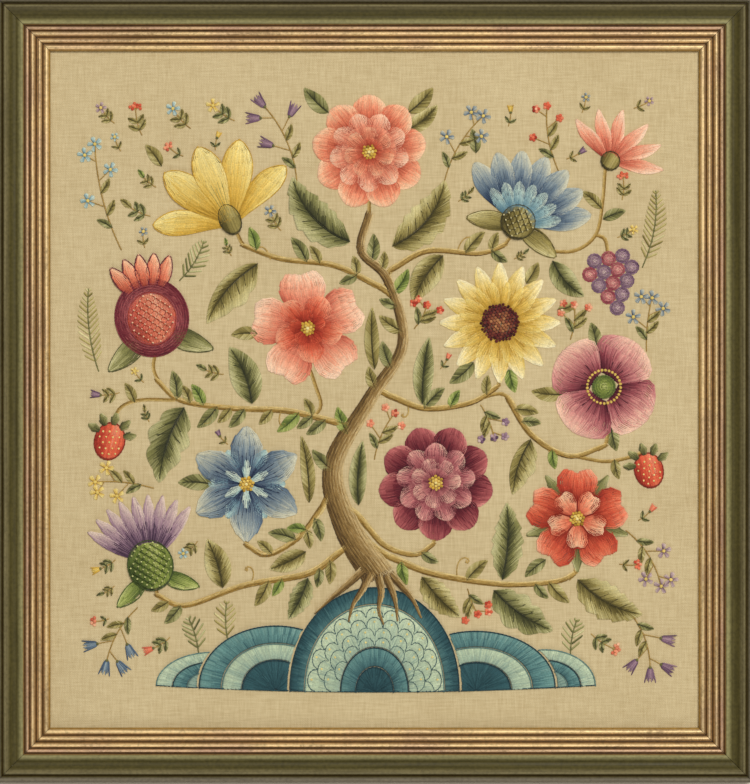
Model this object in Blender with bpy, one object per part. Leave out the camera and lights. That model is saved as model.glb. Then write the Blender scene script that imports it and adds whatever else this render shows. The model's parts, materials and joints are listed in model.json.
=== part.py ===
"""A crewel embroidery in a wooden picture frame, lying on its back with its face up.

Linen is stretched flat over a board and set in the rebate of four mitred rails. The wool work on it is a
traditional tree of life: hillocks, a winding trunk, branches, blossoms, leaves and fruit, each a low relief
of its own. X is the picture's right, Y its top and +Z comes out of its face. Tables and sizes are in
millimetres, and MM turns them to metres.
"""

import math
from collections import namedtuple

import bmesh
import bpy
import numpy as np

MM = 0.001

# Window, rails and what they hold
SIGHT_WIDTH = 486.0
SIGHT_HEIGHT = 507.0
RAIL_WIDTH = 40.0
REBATE_WIDTH = 7.6
REBATE_DEPTH = 9.0
GAP = 0.3
LINEN_THICKNESS = 1.0
LINEN_IN_REBATE = 7.0
BOARD_THICKNESS = 3.0
BOARD_IN_REBATE = 6.6

# Relief of the wool work
LINEN_TOP = REBATE_DEPTH - GAP
WORK_BOTTOM = LINEN_TOP + GAP
EDGE_HEIGHT = 0.55
HILLOCK_HEIGHT = 1.5
TRUNK_HEIGHT = 1.9
BRANCH_HEIGHT = 1.3
LEAF_HEIGHT = 1.4
SHOULDER = 0.8  # where a blossom's top levels off, as a share of its reach
VALLEY = 0.55  # height of the shoulder between petals, as a share of its height on them
BLUNT_TIP = 0.5
TRUNK_FLARE = 2.2
SHARP_ANGLE = math.radians(50)

# Fineness of the outlines
RAY_STEP = 0.1
MOST_REACH = 100.0
HILLOCK_SEGMENTS = 48
TRUNK_STEPS = 5
BRANCH_STEPS = 4
LEAF_STEPS = 15

# Colours
GREEN_STAIN = "#4E4B2C"
NATURAL_LINEN = "#D3BE90"
GREY_BOARD = "#8C8271"
BARK_BROWN = "#7F6B39"
STEM_OLIVE = "#94823F"

Ridge = namedtuple("Ridge", "near far foot crown")
Petals = namedtuple("Petals", "count first step start length half_width span peak tip bend")
Disc = namedtuple("Disc", "x y across up")
Form = namedtuple("Form", "segments petals discs")
Blossom = namedtuple("Blossom", "name form x y turn size height colour")
Leaf = namedtuple("Leaf", "name x y heading length half_width bend kind colour")
Branch = namedtuple("Branch", "name start_width end_width points")
Mound = namedtuple("Mound", "name x half_width height heart_x heart_y behind colour")

# The gold ridges and the pale lip, from the sight edge outwards
RIDGES = (
    Ridge(1.2, 4.5, 11.8, 13.3),
    Ridge(6.3, 9.1, 12.6, 14.4),
    Ridge(11.4, 14.3, 13.8, 15.6),
    Ridge(15.6, 18.0, 14.8, 16.4),
    Ridge(19.5, 22.0, 15.4, 17.2),
)
COVE_FROM = (22.0, 15.8)
COVE_TO = (31.8, 19.6)
COVE_SINK = 2.6
BEAD = Ridge(31.8, 33.9, 19.6, 20.9)
RIM = Ridge(36.0, 40.0, 20.0, 22.0)
LIP_HEIGHT = 10.6
RIDGE_STEPS = 6
COVE_STEPS = 10

GROUND_Y = -222.0
GROUND_SAG = 5.0
GROUND_HALF_WIDTH = 165.0
MOUNDS = (
    Mound("hillock_middle", 0.0, 64.0, 74.0, 0.0, 30.0, None, "#5E8F92"),
    Mound("hillock_left", -74.0, 58.0, 45.0, -98.0, 14.0, 0, "#8FB3A4"),
    Mound("hillock_right", 76.0, 60.0, 41.0, 100.0, 12.0, 0, "#2F5B66"),
    Mound("hillock_far_left", -122.0, 42.0, 25.0, -147.0, 5.0, 1, "#3D6E78"),
    Mound("hillock_far_right", 128.0, 38.0, 27.0, 149.0, 5.0, 2, "#A9C4AE"),
)

TRUNK = Branch(
    "trunk", 25.0, 6.0,
    ((3, -140), (-20, -104), (-31, -58), (-4, -8), (21, 34), (10, 82), (-10, 104), (-4, 131)),
)
BRANCHES = (
    Branch("branch_low_left", 5.0, 3.4,
           ((-26, -122), (-50, -138), (-98, -147), (-142, -162), (-163, -154))),
    Branch("branch_gentian", 4.4, 3.4, ((-39, -88), (-56, -110), (-80, -124), (-96, -116.5))),
    Branch("branch_peony", 4.4, 3.4, ((-8, -99.5), (8, -117), (30, -124), (44, -116))),
    Branch("branch_low_right", 5.0, 3.4,
           ((10.6, -125), (44, -138), (96, -146), (136, -144), (150, -138))),
    Branch("branch_aster", 4.6, 3.4, ((10, -4), (38, -14), (72, -10), (92, 2))),
    Branch("branch_left", 4.6, 3.2, ((-27, -25), (-66, -16), (-108, -14), (-146, -8), (-163, 7))),
    Branch("branch_right", 4.6, 3.2, ((100, -6), (118, -34), (146, -50), (173, -42))),
    Branch("branch_lily", 4.4, 3.2, ((4, 77), (-30, 93), (-70, 98), (-98, 108))),
    Branch("branch_palmette", 4.4, 3.2, ((12.5, 90), (40, 104), (78, 102), (97, 108))),
)

# Rings of petals round a blossom's own centre, whose top is at 90 degrees
FORMS = {
    "rose": Form(70, (Petals(5, 90, 72, 2, 41, 18.2, 0.90, 1.5, -0.05, 0),), ()),
    "peony": Form(72, (Petals(9, 90, 40, 2, 42, 13.6, 0.86, 1.9, 0.16, 0),), ()),
    "aster": Form(80, (Petals(16, 90, 22.5, 8, 38, 7.0, 1.0, 0.95, 0, 0),), (Disc(0, 0, 15, 15),)),
    "gentian": Form(72, (
        Petals(6, 90, 60, 3, 41, 13.0, 1.0, 1.05, 0, 0),
        Petals(6, 120, 60, 3, 27, 8.0, 1.0, 1.1, 0, 0),
    ), ()),
    "poppy": Form(64, (Petals(4, 45, 90, 2, 40, 24.5, 0.88, 1.5, 0.14, 0),), ()),
    "tudor": Form(70, (
        Petals(5, 90, 72, 2, 36, 16.5, 0.90, 1.4, -0.08, 0),
        Petals(5, 126, 72, 20, 21, 4.6, 1.0, 0.9, 0, 0),
    ), ()),
    "lily": Form(84, (
        Petals(3, 62, 28, 0, 66, 12.0, 1.0, 1.7, 0, 0),
        Petals(1, 34, 0, 0, 60, 10.0, 1.0, 1.8, 0, -9),
        Petals(1, 146, 0, 0, 60, 10.0, 1.0, 1.8, 0, 9),
    ), (Disc(0, 6, 8, 12),)),
    "palmette": Form(96, (
        Petals(7, 33, 19, 6, 52, 9.2, 0.84, 1.7, 0.20, 0),
        Petals(1, -4, 0, 0, 38, 7.5, 1.0, 1.0, 0, -6),
        Petals(1, 184, 0, 0, 38, 7.5, 1.0, 1.0, 0, 6),
    ), (Disc(0, 4, 13, 13),)),
    "pomegranate": Form(80, (
        Petals(5, 62, 14, 22, 27, 5.4, 1.0, 0.9, 0, 0),
        Petals(1, -48, 0, 14, 38, 8.5, 1.0, 0.8, 0, 8),
        Petals(1, -132, 0, 14, 38, 8.5, 1.0, 0.8, 0, -8),
    ), (Disc(0, 0, 28, 30),)),
    "thistle": Form(90, (
        Petals(9, 42, 12, 8, 46, 5.0, 1.0, 1.2, 0, 0),
        Petals(1, -46, 0, 10, 30, 6.5, 1.0, 0.9, 0, 6),
        Petals(1, -134, 0, 10, 30, 6.5, 1.0, 0.9, 0, -6),
    ), (Disc(0, 0, 17, 19),)),
    "honeysuckle": Form(84, (
        Petals(3, 98, 26, 0, 46, 6.2, 0.93, 1.5, 0.2, 6),
        Petals(3, 30, 26, 0, 46, 6.2, 0.93, 1.5, 0.2, -6),
    ), (Disc(0, 2, 8, 8),)),
    "grapes": Form(48, (), tuple(
        Disc(10.6 * (i - (n - 1) / 2), 14.5 - 9.4 * row, 6.0, 6.0)
        for row, n in enumerate((3, 4, 3, 2, 1)) for i in range(n)
    )),
    "strawberry": Form(36, (
        Petals(5, 18, 36, 9, 12, 4.0, 1.0, 0.9, 0, 0),
    ), (Disc(0, -3, 12, 15), Disc(0, 6, 13.5, 9))),
}

BLOSSOMS = (
    Blossom("peony_top", "peony", -4, 178, 0, 1.0, 1.7, "#D9775F"),
    Blossom("lily_left", "lily", -106, 122, 24, 1.0, 1.6, "#E2C467"),
    Blossom("palmette_right", "palmette", 106, 122, -24, 1.0, 1.6, "#5E7C96"),
    Blossom("rose_left", "rose", -50, 46, 8, 1.0, 1.6, "#D98A70"),
    Blossom("aster_right", "aster", 94, 50, 0, 1.0, 1.5, "#E9D27E"),
    Blossom("pomegranate_left", "pomegranate", -167, 54, 12, 1.0, 1.8, "#8C3B3A"),
    Blossom("poppy_right", "poppy", 172, 2, 10, 1.0, 1.6, "#8E4660"),
    Blossom("gentian_left", "gentian", -96, -71, 0, 1.0, 1.5, "#4F6C93"),
    Blossom("peony_low", "peony", 46, -70, 20, 1.0, 1.7, "#7A2E3E"),
    Blossom("tudor_rose_right", "tudor", 152, -97, 0, 1.0, 1.6, "#C8553D"),
    Blossom("thistle_left", "thistle", -168, -132, 14, 1.0, 1.6, "#7D6494"),
    Blossom("honeysuckle_right", "honeysuckle", 176, 170, -30, 0.9, 1.4, "#D9B48A"),
    Blossom("grapes_right", "grapes", 178, 84, 10, 1.0, 1.9, "#6B4A6E"),
    Blossom("strawberry_left", "strawberry", -198, -36, -14, 0.95, 1.9, "#B5483A"),
    Blossom("strawberry_right", "strawberry", 205, -58, 16, 0.9, 1.9, "#B5483A"),
)

LEAVES = (
    Leaf("leaf_top_left", -19, 111, 131, 68, 16, -60, "toothed", "#5F6A35"),
    Leaf("leaf_top_right", 14, 108, 52, 66, 16, 60, "toothed", "#6E7440"),
    Leaf("leaf_lily", -88, 94, 230, 60, 18, 40, "curl", "#767B45"),
    Leaf("leaf_rose", 0, 16, 92, 46, 6, -14, "plain", "#8A8A4E"),
    Leaf("leaf_rose_low", -92, -10, 112, 46, 12, 30, "plain", "#5F6A35"),
    Leaf("leaf_left", -143, -14, 252, 60, 17, 30, "lobed", "#6E7440"),
    Leaf("leaf_thistle", -114, -148, 108, 38, 10, 20, "plain", "#767B45"),
    Leaf("leaf_gentian", -52, -122, 205, 30, 8, -20, "plain", "#767B45"),
    Leaf("leaf_trunk_left", -49, -84, 97, 50, 5.6, 16, "plain", "#6E7440"),
    Leaf("leaf_trunk_right", -12, -86, 86, 48, 7, -20, "plain", "#5F6A35"),
    Leaf("leaf_low_left", -50, -142, 244, 34, 9, -20, "toothed", "#5F6A35"),
    Leaf("leaf_low_middle", 36, -141, 314, 42, 11, 20, "toothed", "#6E7440"),
    Leaf("leaf_low_right", 90, -151, 326, 54, 15, 30, "lobed", "#5F6A35"),
    Leaf("leaf_tudor", 153, -143, 332, 56, 15, 40, "toothed", "#767B45"),
    Leaf("leaf_peony", 96, -142, 87, 58, 13, 20, "toothed", "#767B45"),
    Leaf("leaf_right", 117, -38, 252, 44, 14, 30, "curl", "#6E7440"),
    Leaf("leaf_aster", 36, -10, 84, 50, 8, -16, "plain", "#5F6A35"),
    Leaf("leaf_palmette", 134, 96, 312, 36, 9, 40, "plain", "#5F6A35"),
    Leaf("leaf_palmette_low", 51, 100, 238, 42, 11, 30, "plain", "#6E7440"),
)


def colour_of(code):
    """The linear colour of an sRGB hex code."""
    parts = [int(code[i:i + 2], 16) / 255 for i in (1, 3, 5)]
    linear = [p / 12.92 if p <= 0.04045 else ((p + 0.055) / 1.055) ** 2.4 for p in parts]
    return (*linear, 1.0)


def material_of(name, code, roughness):
    """A plain material of its own for one piece."""
    material = bpy.data.materials.new(name)
    material.use_nodes = True
    shader = material.node_tree.nodes["Principled BSDF"]
    shader.inputs["Base Color"].default_value = colour_of(code)
    shader.inputs["Roughness"].default_value = roughness
    shader.inputs["Metallic"].default_value = 0.0
    return material


def add_piece(name, points, faces, code, roughness=0.95, place=(0, 0, 0), turn=0.0):
    """One named solid from points and faces in millimetres round its own origin."""
    mesh = bpy.data.meshes.new(name)
    mesh.from_pydata([[c * MM for c in point] for point in points], [], faces)
    work = bmesh.new()
    work.from_mesh(mesh)
    bmesh.ops.recalc_face_normals(work, faces=work.faces)
    work.to_mesh(mesh)
    work.free()
    mesh.shade_smooth()
    mesh.set_sharp_from_angle(angle=SHARP_ANGLE)
    mesh.materials.append(material_of(name, code, roughness))
    piece = bpy.data.objects.new(name, mesh)
    piece.location = [c * MM for c in place]
    piece.rotation_euler = (0, 0, math.radians(turn))
    bpy.context.scene.collection.objects.link(piece)
    return piece


def clear_scene():
    for old in list(bpy.data.objects):
        bpy.data.objects.remove(old)


def hump(start, end, rise, steps):
    """Points from start to end that swell by rise, or sink where it is below nought; start is left out."""
    points = []
    for i in range(1, steps + 1):
        t = i / steps
        x = start[0] + (end[0] - start[0]) * t
        z = start[1] + (end[1] - start[1]) * t + rise * math.sin(math.pi * t)
        points.append((x, z))
    return points


def ridge_points(ridge, steps):
    top = (ridge.near, ridge.foot)
    return [top] + hump(top, (ridge.far, ridge.foot), ridge.crown - ridge.foot, steps)


def rail_profile():
    """The moulding's section: distance outwards from the sight edge, and height above the back."""
    profile = [(REBATE_WIDTH, 0.0), (REBATE_WIDTH, REBATE_DEPTH), (0.0, REBATE_DEPTH), (0.0, LIP_HEIGHT)]
    for ridge in RIDGES:
        profile += ridge_points(ridge, RIDGE_STEPS)
    profile += [COVE_FROM] + hump(COVE_FROM, COVE_TO, -COVE_SINK, COVE_STEPS)
    profile += ridge_points(BEAD, RIDGE_STEPS)[1:]
    profile += ridge_points(RIM, RIDGE_STEPS)
    profile.append((RAIL_WIDTH, 0.0))
    return profile


def add_rail(name, half_length, half_across, turn):
    """A rail below the window, its ends cut at 45 degrees a little short of the corner, then turned."""
    profile = rail_profile()
    short = GAP / 2 * math.sqrt(2)
    ends = []
    for side in (-1, 1):
        ends.append([(side * (half_length + u - short), -(half_across + u), z) for u, z in profile])
    count = len(profile)
    faces = [(i, (i + 1) % count, count + (i + 1) % count, count + i) for i in range(count)]
    faces += [tuple(range(count)), tuple(range(count, 2 * count))]
    return add_piece(name, ends[0] + ends[1], faces, GREEN_STAIN, 0.45, turn=turn)


def add_slab(name, width, height, bottom, thickness, code):
    """A flat rectangular sheet centred on the picture."""
    x, y = width / 2, height / 2
    corners = [(-x, -y), (x, -y), (x, y), (-x, y)]
    points = [(x, y, z) for z in (bottom, bottom + thickness) for x, y in corners]
    faces = [(3, 2, 1, 0), (4, 5, 6, 7)] + [(i, (i + 1) % 4, (i + 1) % 4 + 4, i + 4) for i in range(4)]
    return add_piece(name, points, faces, code)


def smooth_path(points, steps):
    """Points along a Catmull-Rom curve through the given ones, as an array."""
    knots = np.array(points, float)
    knots = np.vstack([2 * knots[0] - knots[1], knots, 2 * knots[-1] - knots[-2]])
    path = []
    for i in range(1, len(knots) - 2):
        before, here, there, after = knots[i - 1:i + 3]
        for t in np.arange(steps) / steps:
            path.append(
                0.5 * (2 * here + (there - before) * t
                       + (2 * before - 5 * here + 4 * there - after) * t ** 2
                       + (3 * here - before - 3 * there + after) * t ** 3)
            )
    path.append(knots[-2])
    return np.array(path)


def arc_path(length, bend, steps):
    """A path from the origin that sets out along X and turns evenly by bend degrees."""
    headings = np.radians(bend) * (np.arange(steps) + 0.5) / steps - np.radians(bend) / 2
    moves = np.stack([np.cos(headings), np.sin(headings)], axis=1) * length / steps
    return np.vstack([[0, 0], np.cumsum(moves, axis=0)])


def add_strip(name, path, left, right, height, code, place=(0, 0), turn=0.0):
    """A low relief along a path, left and right half widths from it, highest along the path."""
    heading = np.gradient(path, axis=0)
    heading /= np.linalg.norm(heading, axis=1)[:, None]
    side = np.stack([-heading[:, 1], heading[:, 0]], axis=1)
    left = np.maximum(left, BLUNT_TIP)[:, None]
    right = np.maximum(right, BLUNT_TIP)[:, None]
    points = []
    for rail, z in ((path + side * left, 0), (path + side * left, EDGE_HEIGHT), (path, height),
                    (path - side * right, EDGE_HEIGHT), (path - side * right, 0)):
        points += [(x, y, z) for x, y in rail]
    count = len(path)
    faces = []
    for rail in range(5):
        following = (rail + 1) % 5
        for i in range(count - 1):
            here, there = rail * count + i, following * count + i
            faces.append((here, here + 1, there + 1, there))
    faces += [tuple(r * count for r in range(5)), tuple(r * count + count - 1 for r in range(5))]
    return add_piece(name, points, faces, code, place=(*place, WORK_BOTTOM), turn=turn)


def add_cushion(name, rim, height, code, place, turn=0.0):
    """A low relief inside a rim round the origin, with its far parts the lower ones."""
    count = len(rim)
    reach = np.linalg.norm(rim, axis=1)
    crown = EDGE_HEIGHT + (height - EDGE_HEIGHT) * (VALLEY + (1 - VALLEY) * reach / reach.max())
    points = [(x, y, 0) for x, y in rim] + [(x, y, EDGE_HEIGHT) for x, y in rim]
    points += [(x * SHOULDER, y * SHOULDER, z) for (x, y), z in zip(rim, crown)]
    points += [(0, 0, 0), (0, 0, height)]
    faces = []
    for i in range(count):
        j = (i + 1) % count
        faces.append((i, j, count + j, count + i))
        faces.append((count + i, count + j, 2 * count + j, 2 * count + i))
        faces.append((2 * count + i, 2 * count + j, 3 * count + 1))
        faces.append((i, j, 3 * count))
    return add_piece(name, points, faces, code, place=(*place, WORK_BOTTOM), turn=turn)


def petal_rim(petals, angle):
    """The outline of one petal. Its end is rounded where tip is above nought, and notched below it."""
    v = np.linspace(0, 1, 15)
    u = np.linspace(-1, 1, 11)
    across = np.concatenate([-np.ones(15), u, np.ones(15)])
    along = np.concatenate([v, np.ones(11), v[::-1]])
    rounded = 1 - max(petals.tip, 0) * across ** 2 + min(petals.tip, 0) * (1 - abs(across)) ** 2
    outward = petals.start + petals.length * along * rounded
    wide = across * petals.half_width * np.sin(np.pi * (petals.span * along) ** petals.peak) ** 0.7
    wide = wide + petals.bend * along ** 2
    turn = math.radians(angle)
    return np.stack([outward * math.cos(turn) - wide * math.sin(turn),
                     outward * math.sin(turn) + wide * math.cos(turn)], axis=1)


def inside_rim(points, rim):
    """Whether each point is inside a closed outline."""
    x, y = points[:, 0, None], points[:, 1, None]
    x0, y0 = rim[:, 0], rim[:, 1]
    x1, y1 = np.roll(x0, -1), np.roll(y0, -1)
    spans = (y0 > y) != (y1 > y)
    rise = np.where(y1 == y0, 1e-9, y1 - y0)
    return (spans & (x < (x1 - x0) * (y - y0) / rise + x0)).sum(axis=1) % 2 == 1


def reach_of(inside, segments, far):
    """How far a shape reaches from the origin at evenly spaced angles, starting at the top."""
    steps = np.arange(RAY_STEP, far, RAY_STEP)
    angles = math.pi / 2 + 2 * math.pi * np.arange(segments) / segments
    rim = []
    for angle in angles:
        ray = steps[:, None] * np.array([[math.cos(angle), math.sin(angle)]])
        hits = np.flatnonzero(inside(ray))
        distance = steps[hits[-1]] if len(hits) else RAY_STEP
        rim.append((distance * math.cos(angle), distance * math.sin(angle)))
    return np.array(rim)


def add_blossom(blossom):
    """A blossom's or fruit's relief, out to the edge of its petals, sepals and discs."""
    form = FORMS[blossom.form]
    rims = [petal_rim(p, p.first + i * p.step) for p in form.petals for i in range(p.count)]

    def inside(points):
        within = np.zeros(len(points), bool)
        for rim in rims:
            within |= inside_rim(points, rim)
        for disc in form.discs:
            x = (points[:, 0] - disc.x) / disc.across
            y = (points[:, 1] - disc.y) / disc.up
            within |= x ** 2 + y ** 2 < 1
        return within

    rim = reach_of(inside, form.segments, MOST_REACH) * blossom.size
    place = (blossom.x, blossom.y)
    return add_cushion(blossom.name, rim, blossom.height, blossom.colour, place, blossom.turn)


def add_mound(mound):
    """A rounded hillock on the sagging ground line, cut back where a nearer one stands in front of it."""

    def inside(points):
        x = points[:, 0] + mound.heart_x
        y = points[:, 1] + mound.heart_y
        within = ((x - mound.x) / mound.half_width) ** 2 + (y / mound.height) ** 2 < 1
        within &= y > -GROUND_SAG * (1 - (x / GROUND_HALF_WIDTH) ** 2)
        if mound.behind is not None:
            front = MOUNDS[mound.behind]
            across = (x - front.x) / (front.half_width + 1.0)
            within &= across ** 2 + (y / (front.height + 1.0)) ** 2 > 1
        return within

    rim = reach_of(inside, HILLOCK_SEGMENTS, MOST_REACH)
    place = (mound.heart_x, GROUND_Y + mound.heart_y)
    return add_cushion(mound.name, rim, HILLOCK_HEIGHT, mound.colour, place)


def add_branch(branch, code, steps, height, taper):
    """A stem along its points that thins towards its end, faster at first where taper is above one."""
    path = smooth_path(branch.points, steps)
    left_to_go = np.linspace(1, 0, len(path)) ** taper
    width = (branch.end_width + (branch.start_width - branch.end_width) * left_to_go) / 2
    return add_strip(branch.name, path, width, width, height, code)


def leaf_widths(leaf, t):
    """Left and right half widths of a leaf along its rib."""
    plain = leaf.half_width * np.sin(np.pi * t ** 0.85) ** 0.8
    if leaf.kind == "toothed":
        teeth = 1 - 0.24 * (t * 6 % 1)
        return plain * teeth, plain * teeth
    if leaf.kind == "lobed":
        lobes = 0.74 + 0.26 * abs(np.sin(3.5 * np.pi * t))
        return plain * lobes, plain * lobes
    if leaf.kind == "curl":
        lobes = 0.84 + 0.16 * abs(np.sin(3 * np.pi * t))
        return plain * lobes, plain * 0.42
    return plain, plain


def add_leaf(leaf):
    path = arc_path(leaf.length, leaf.bend, LEAF_STEPS)
    left, right = leaf_widths(leaf, np.linspace(0, 1, len(path)))
    place = (leaf.x, leaf.y)
    return add_strip(leaf.name, path, left, right, LEAF_HEIGHT, leaf.colour, place, leaf.heading)


def main():
    clear_scene()
    half_width, half_height = SIGHT_WIDTH / 2, SIGHT_HEIGHT / 2
    add_rail("rail_bottom", half_width, half_height, 0)
    add_rail("rail_right", half_height, half_width, 90)
    add_rail("rail_top", half_width, half_height, 180)
    add_rail("rail_left", half_height, half_width, 270)
    linen_bottom = LINEN_TOP - LINEN_THICKNESS
    add_slab("linen", SIGHT_WIDTH + 2 * LINEN_IN_REBATE, SIGHT_HEIGHT + 2 * LINEN_IN_REBATE,
             linen_bottom, LINEN_THICKNESS, NATURAL_LINEN)
    add_slab("mounting_board", SIGHT_WIDTH + 2 * BOARD_IN_REBATE, SIGHT_HEIGHT + 2 * BOARD_IN_REBATE,
             linen_bottom - GAP - BOARD_THICKNESS, BOARD_THICKNESS, GREY_BOARD)
    for mound in MOUNDS:
        add_mound(mound)
    add_branch(TRUNK, BARK_BROWN, TRUNK_STEPS, TRUNK_HEIGHT, TRUNK_FLARE)
    for branch in BRANCHES:
        add_branch(branch, STEM_OLIVE, BRANCH_STEPS, BRANCH_HEIGHT, 1.0)
    for blossom in BLOSSOMS:
        add_blossom(blossom)
    for leaf in LEAVES:
        add_leaf(leaf)


main()
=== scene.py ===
"""A crewel embroidery in a wooden picture frame, finished for a close look.

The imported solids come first. Each low relief on the linen is replaced by its own stitches of crewel wool,
the linen by a woven sheet and the rails by finer mouldings. The board keeps its solid and gets a finish.
The picture is a traditional tree of life. X is its right, Y its top and +Z comes out of its face, and the
tables and sizes are in millimetres.
"""

import json
import math
from collections import namedtuple
from functools import partial
from itertools import cycle

import bpy
import numpy as np
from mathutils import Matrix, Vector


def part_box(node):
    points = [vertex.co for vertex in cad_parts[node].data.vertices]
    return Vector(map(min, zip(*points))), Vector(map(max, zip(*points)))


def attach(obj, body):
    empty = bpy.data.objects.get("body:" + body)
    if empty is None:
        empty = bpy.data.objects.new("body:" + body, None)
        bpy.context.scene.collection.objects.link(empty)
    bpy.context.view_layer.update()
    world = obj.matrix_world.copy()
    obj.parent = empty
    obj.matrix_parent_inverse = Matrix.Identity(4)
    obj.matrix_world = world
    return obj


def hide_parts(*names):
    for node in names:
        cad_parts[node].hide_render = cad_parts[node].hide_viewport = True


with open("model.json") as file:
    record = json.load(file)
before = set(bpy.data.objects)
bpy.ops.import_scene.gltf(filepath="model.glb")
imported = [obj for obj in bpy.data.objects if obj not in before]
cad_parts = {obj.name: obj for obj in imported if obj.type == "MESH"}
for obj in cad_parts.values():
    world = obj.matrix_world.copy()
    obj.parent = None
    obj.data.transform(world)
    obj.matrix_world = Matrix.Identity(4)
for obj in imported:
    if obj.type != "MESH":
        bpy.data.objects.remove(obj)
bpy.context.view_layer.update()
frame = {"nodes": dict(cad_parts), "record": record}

bl_info = {
    "name": "Crewel Picture",
    "version": (1, 0, 0),
    "blender": (4, 5, 0),
    "location": "View3D > Sidebar > Crewel",
    "description": "Sews a tree of life in wool on linen and finishes its gilt and green frame",
    "category": "Object",
}

MM = 0.001
BODY = "root"
SLOT_OF = {row["node"]: row["material_slot"] for row in frame["record"]["subparts"]}

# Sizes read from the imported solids, in millimetres
LINEN_LOW, LINEN_HIGH = [[c / MM for c in corner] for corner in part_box("linen")]
LINEN_WIDTH = LINEN_HIGH[0] - LINEN_LOW[0]
LINEN_LENGTH = LINEN_HIGH[1] - LINEN_LOW[1]
LINEN_TOP = LINEN_HIGH[2]
LINEN_IN_REBATE = 7.0
SIGHT_HALF_WIDTH = LINEN_WIDTH / 2 - LINEN_IN_REBATE
SIGHT_HALF_HEIGHT = LINEN_LENGTH / 2 - LINEN_IN_REBATE
LINEN_GRID = (61, 63)  # places across and up, close enough to carry the cloth's rise and fall

# The moulding's section as its solids have it: distances outwards from the sight edge, heights above the back
Ridge = namedtuple("Ridge", "near far foot crown")
RIDGES = (
    Ridge(1.2, 4.5, 11.8, 13.3),
    Ridge(6.3, 9.1, 12.6, 14.4),
    Ridge(11.4, 14.3, 13.8, 15.6),
    Ridge(15.6, 18.0, 14.8, 16.4),
)
RIDGE_REDNESS = (0.0, 0.15, 0.1, 0.75)  # how far the red clay shows through each ridge's leaf
LIP = Ridge(19.5, 22.0, 15.4, 17.2)
COVE = Ridge(22.0, 31.8, 15.8, 19.6)
COVE_SINK = 2.6
BEAD = Ridge(31.8, 33.9, 19.6, 20.9)
RIM = Ridge(36.0, 40.0, 20.0, 22.0)
SIGHT_EDGE_LOW, SIGHT_EDGE_HIGH = 9.0, 10.6
REBATE_WIDTH = 7.6
MITRE_GAP = 0.3
GROOVE_SINK = 0.5  # how far the lines between the ridges are cut in
OUTER_SINK = 0.9  # the same of the line between the bead and the rim
GROOVE_HALF_WIDTH = 0.8
PROFILE_STEP = 0.2
FINE_STEP = 0.05
EASED_STEPS = 5  # fine steps either way over which a corner of the section is eased
RAIL_SEGMENTS = 8
RAIL_STRIPS = 4
BACK_DEPTH = 0.4

# Ground line and hillocks
GROUND_Y = -222.0
GROUND_SAG = 5.0
GROUND_HALF_WIDTH = 165.0
MOUND_GAP = 1.0

Petals = namedtuple("Petals", "count first step start length half_width span peak tip bend", defaults=(0, 0))
Layer = namedtuple("Layer", "petals wool tones rows lift rim veins foot", defaults=(None, None, 0.04))
Heart = namedtuple("Heart", "kind x y across up wool lift")
Form = namedtuple("Form", "layers hearts")
Blossom = namedtuple("Blossom", "name form x y turn size wools")
Leaf = namedtuple("Leaf", "name x y heading length half_width bend kind wool")
Branch = namedtuple("Branch", "name start_width end_width points")
Mound = namedtuple("Mound", "name x half_width height behind wool bands")
Sprig = namedtuple("Sprig", "x y heading length bend kind wool")

# Dyed wools, four shades of each from pale to dark
SHADE_NAMES = ("pale", "light", "deep", "dark")
SHADES = {
    "coral": ("#F7CEA6", "#EE9C74", "#D96A4C", "#9C3824"),
    "salmon": ("#F8D6B6", "#F0AA86", "#D97458", "#A14733"),
    "red": ("#F5B48E", "#E4734E", "#C44630", "#842618"),
    "yellow": ("#F3E29C", "#E8CC70", "#D8AE42", "#9F7826"),
    "cream": ("#F6EABF", "#EFDA92", "#E2C15E", "#B2883A"),
    "blue": ("#D2CEB4", "#8E9DA2", "#52677C", "#263048"),
    "sky": ("#D6DEC8", "#A8C2BC", "#719AA6", "#46687C"),
    "burgundy": ("#E9B7A2", "#C46E6A", "#7E2C36", "#3E1420"),
    "plum": ("#F2CBB0", "#D68E88", "#9A444E", "#481824"),
    "purple": ("#DEC8B6", "#B2929A", "#78586E", "#432E42"),
    "teal": ("#B2C8B4", "#6F9992", "#3C6468", "#1E3C42"),
    "aqua": ("#E0E3C2", "#C3D0B0", "#98AE9C", "#5E7F78"),
    "leaf": ("#D3CB98", "#9A9658", "#626036", "#363820"),
    "olive": ("#DCD09A", "#B1A15E", "#7B6D36", "#463F1E"),
    "stem": ("#DFC788", "#C0A05A", "#977634", "#614618"),
    "bark": ("#CFB682", "#A3834B", "#74592E", "#45301A"),
    "moss": ("#D2D28A", "#9DA852", "#667636", "#3C4A20"),
    "brown": ("#D69C64", "#96583A", "#6A2A26", "#3A1414"),
}

MOUNDS = (
    Mound("hillock_middle", 0.0, 64.0, 74.0, None, "aqua", "scales"),
    Mound("hillock_left", -74.0, 58.0, 45.0, 0, "teal", "rows"),
    Mound("hillock_right", 76.0, 60.0, 41.0, 0, "teal", "rows"),
    Mound("hillock_far_left", -122.0, 42.0, 25.0, 1, "aqua", "rows"),
    Mound("hillock_far_right", 128.0, 38.0, 27.0, 2, "aqua", "rows"),
)

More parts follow.
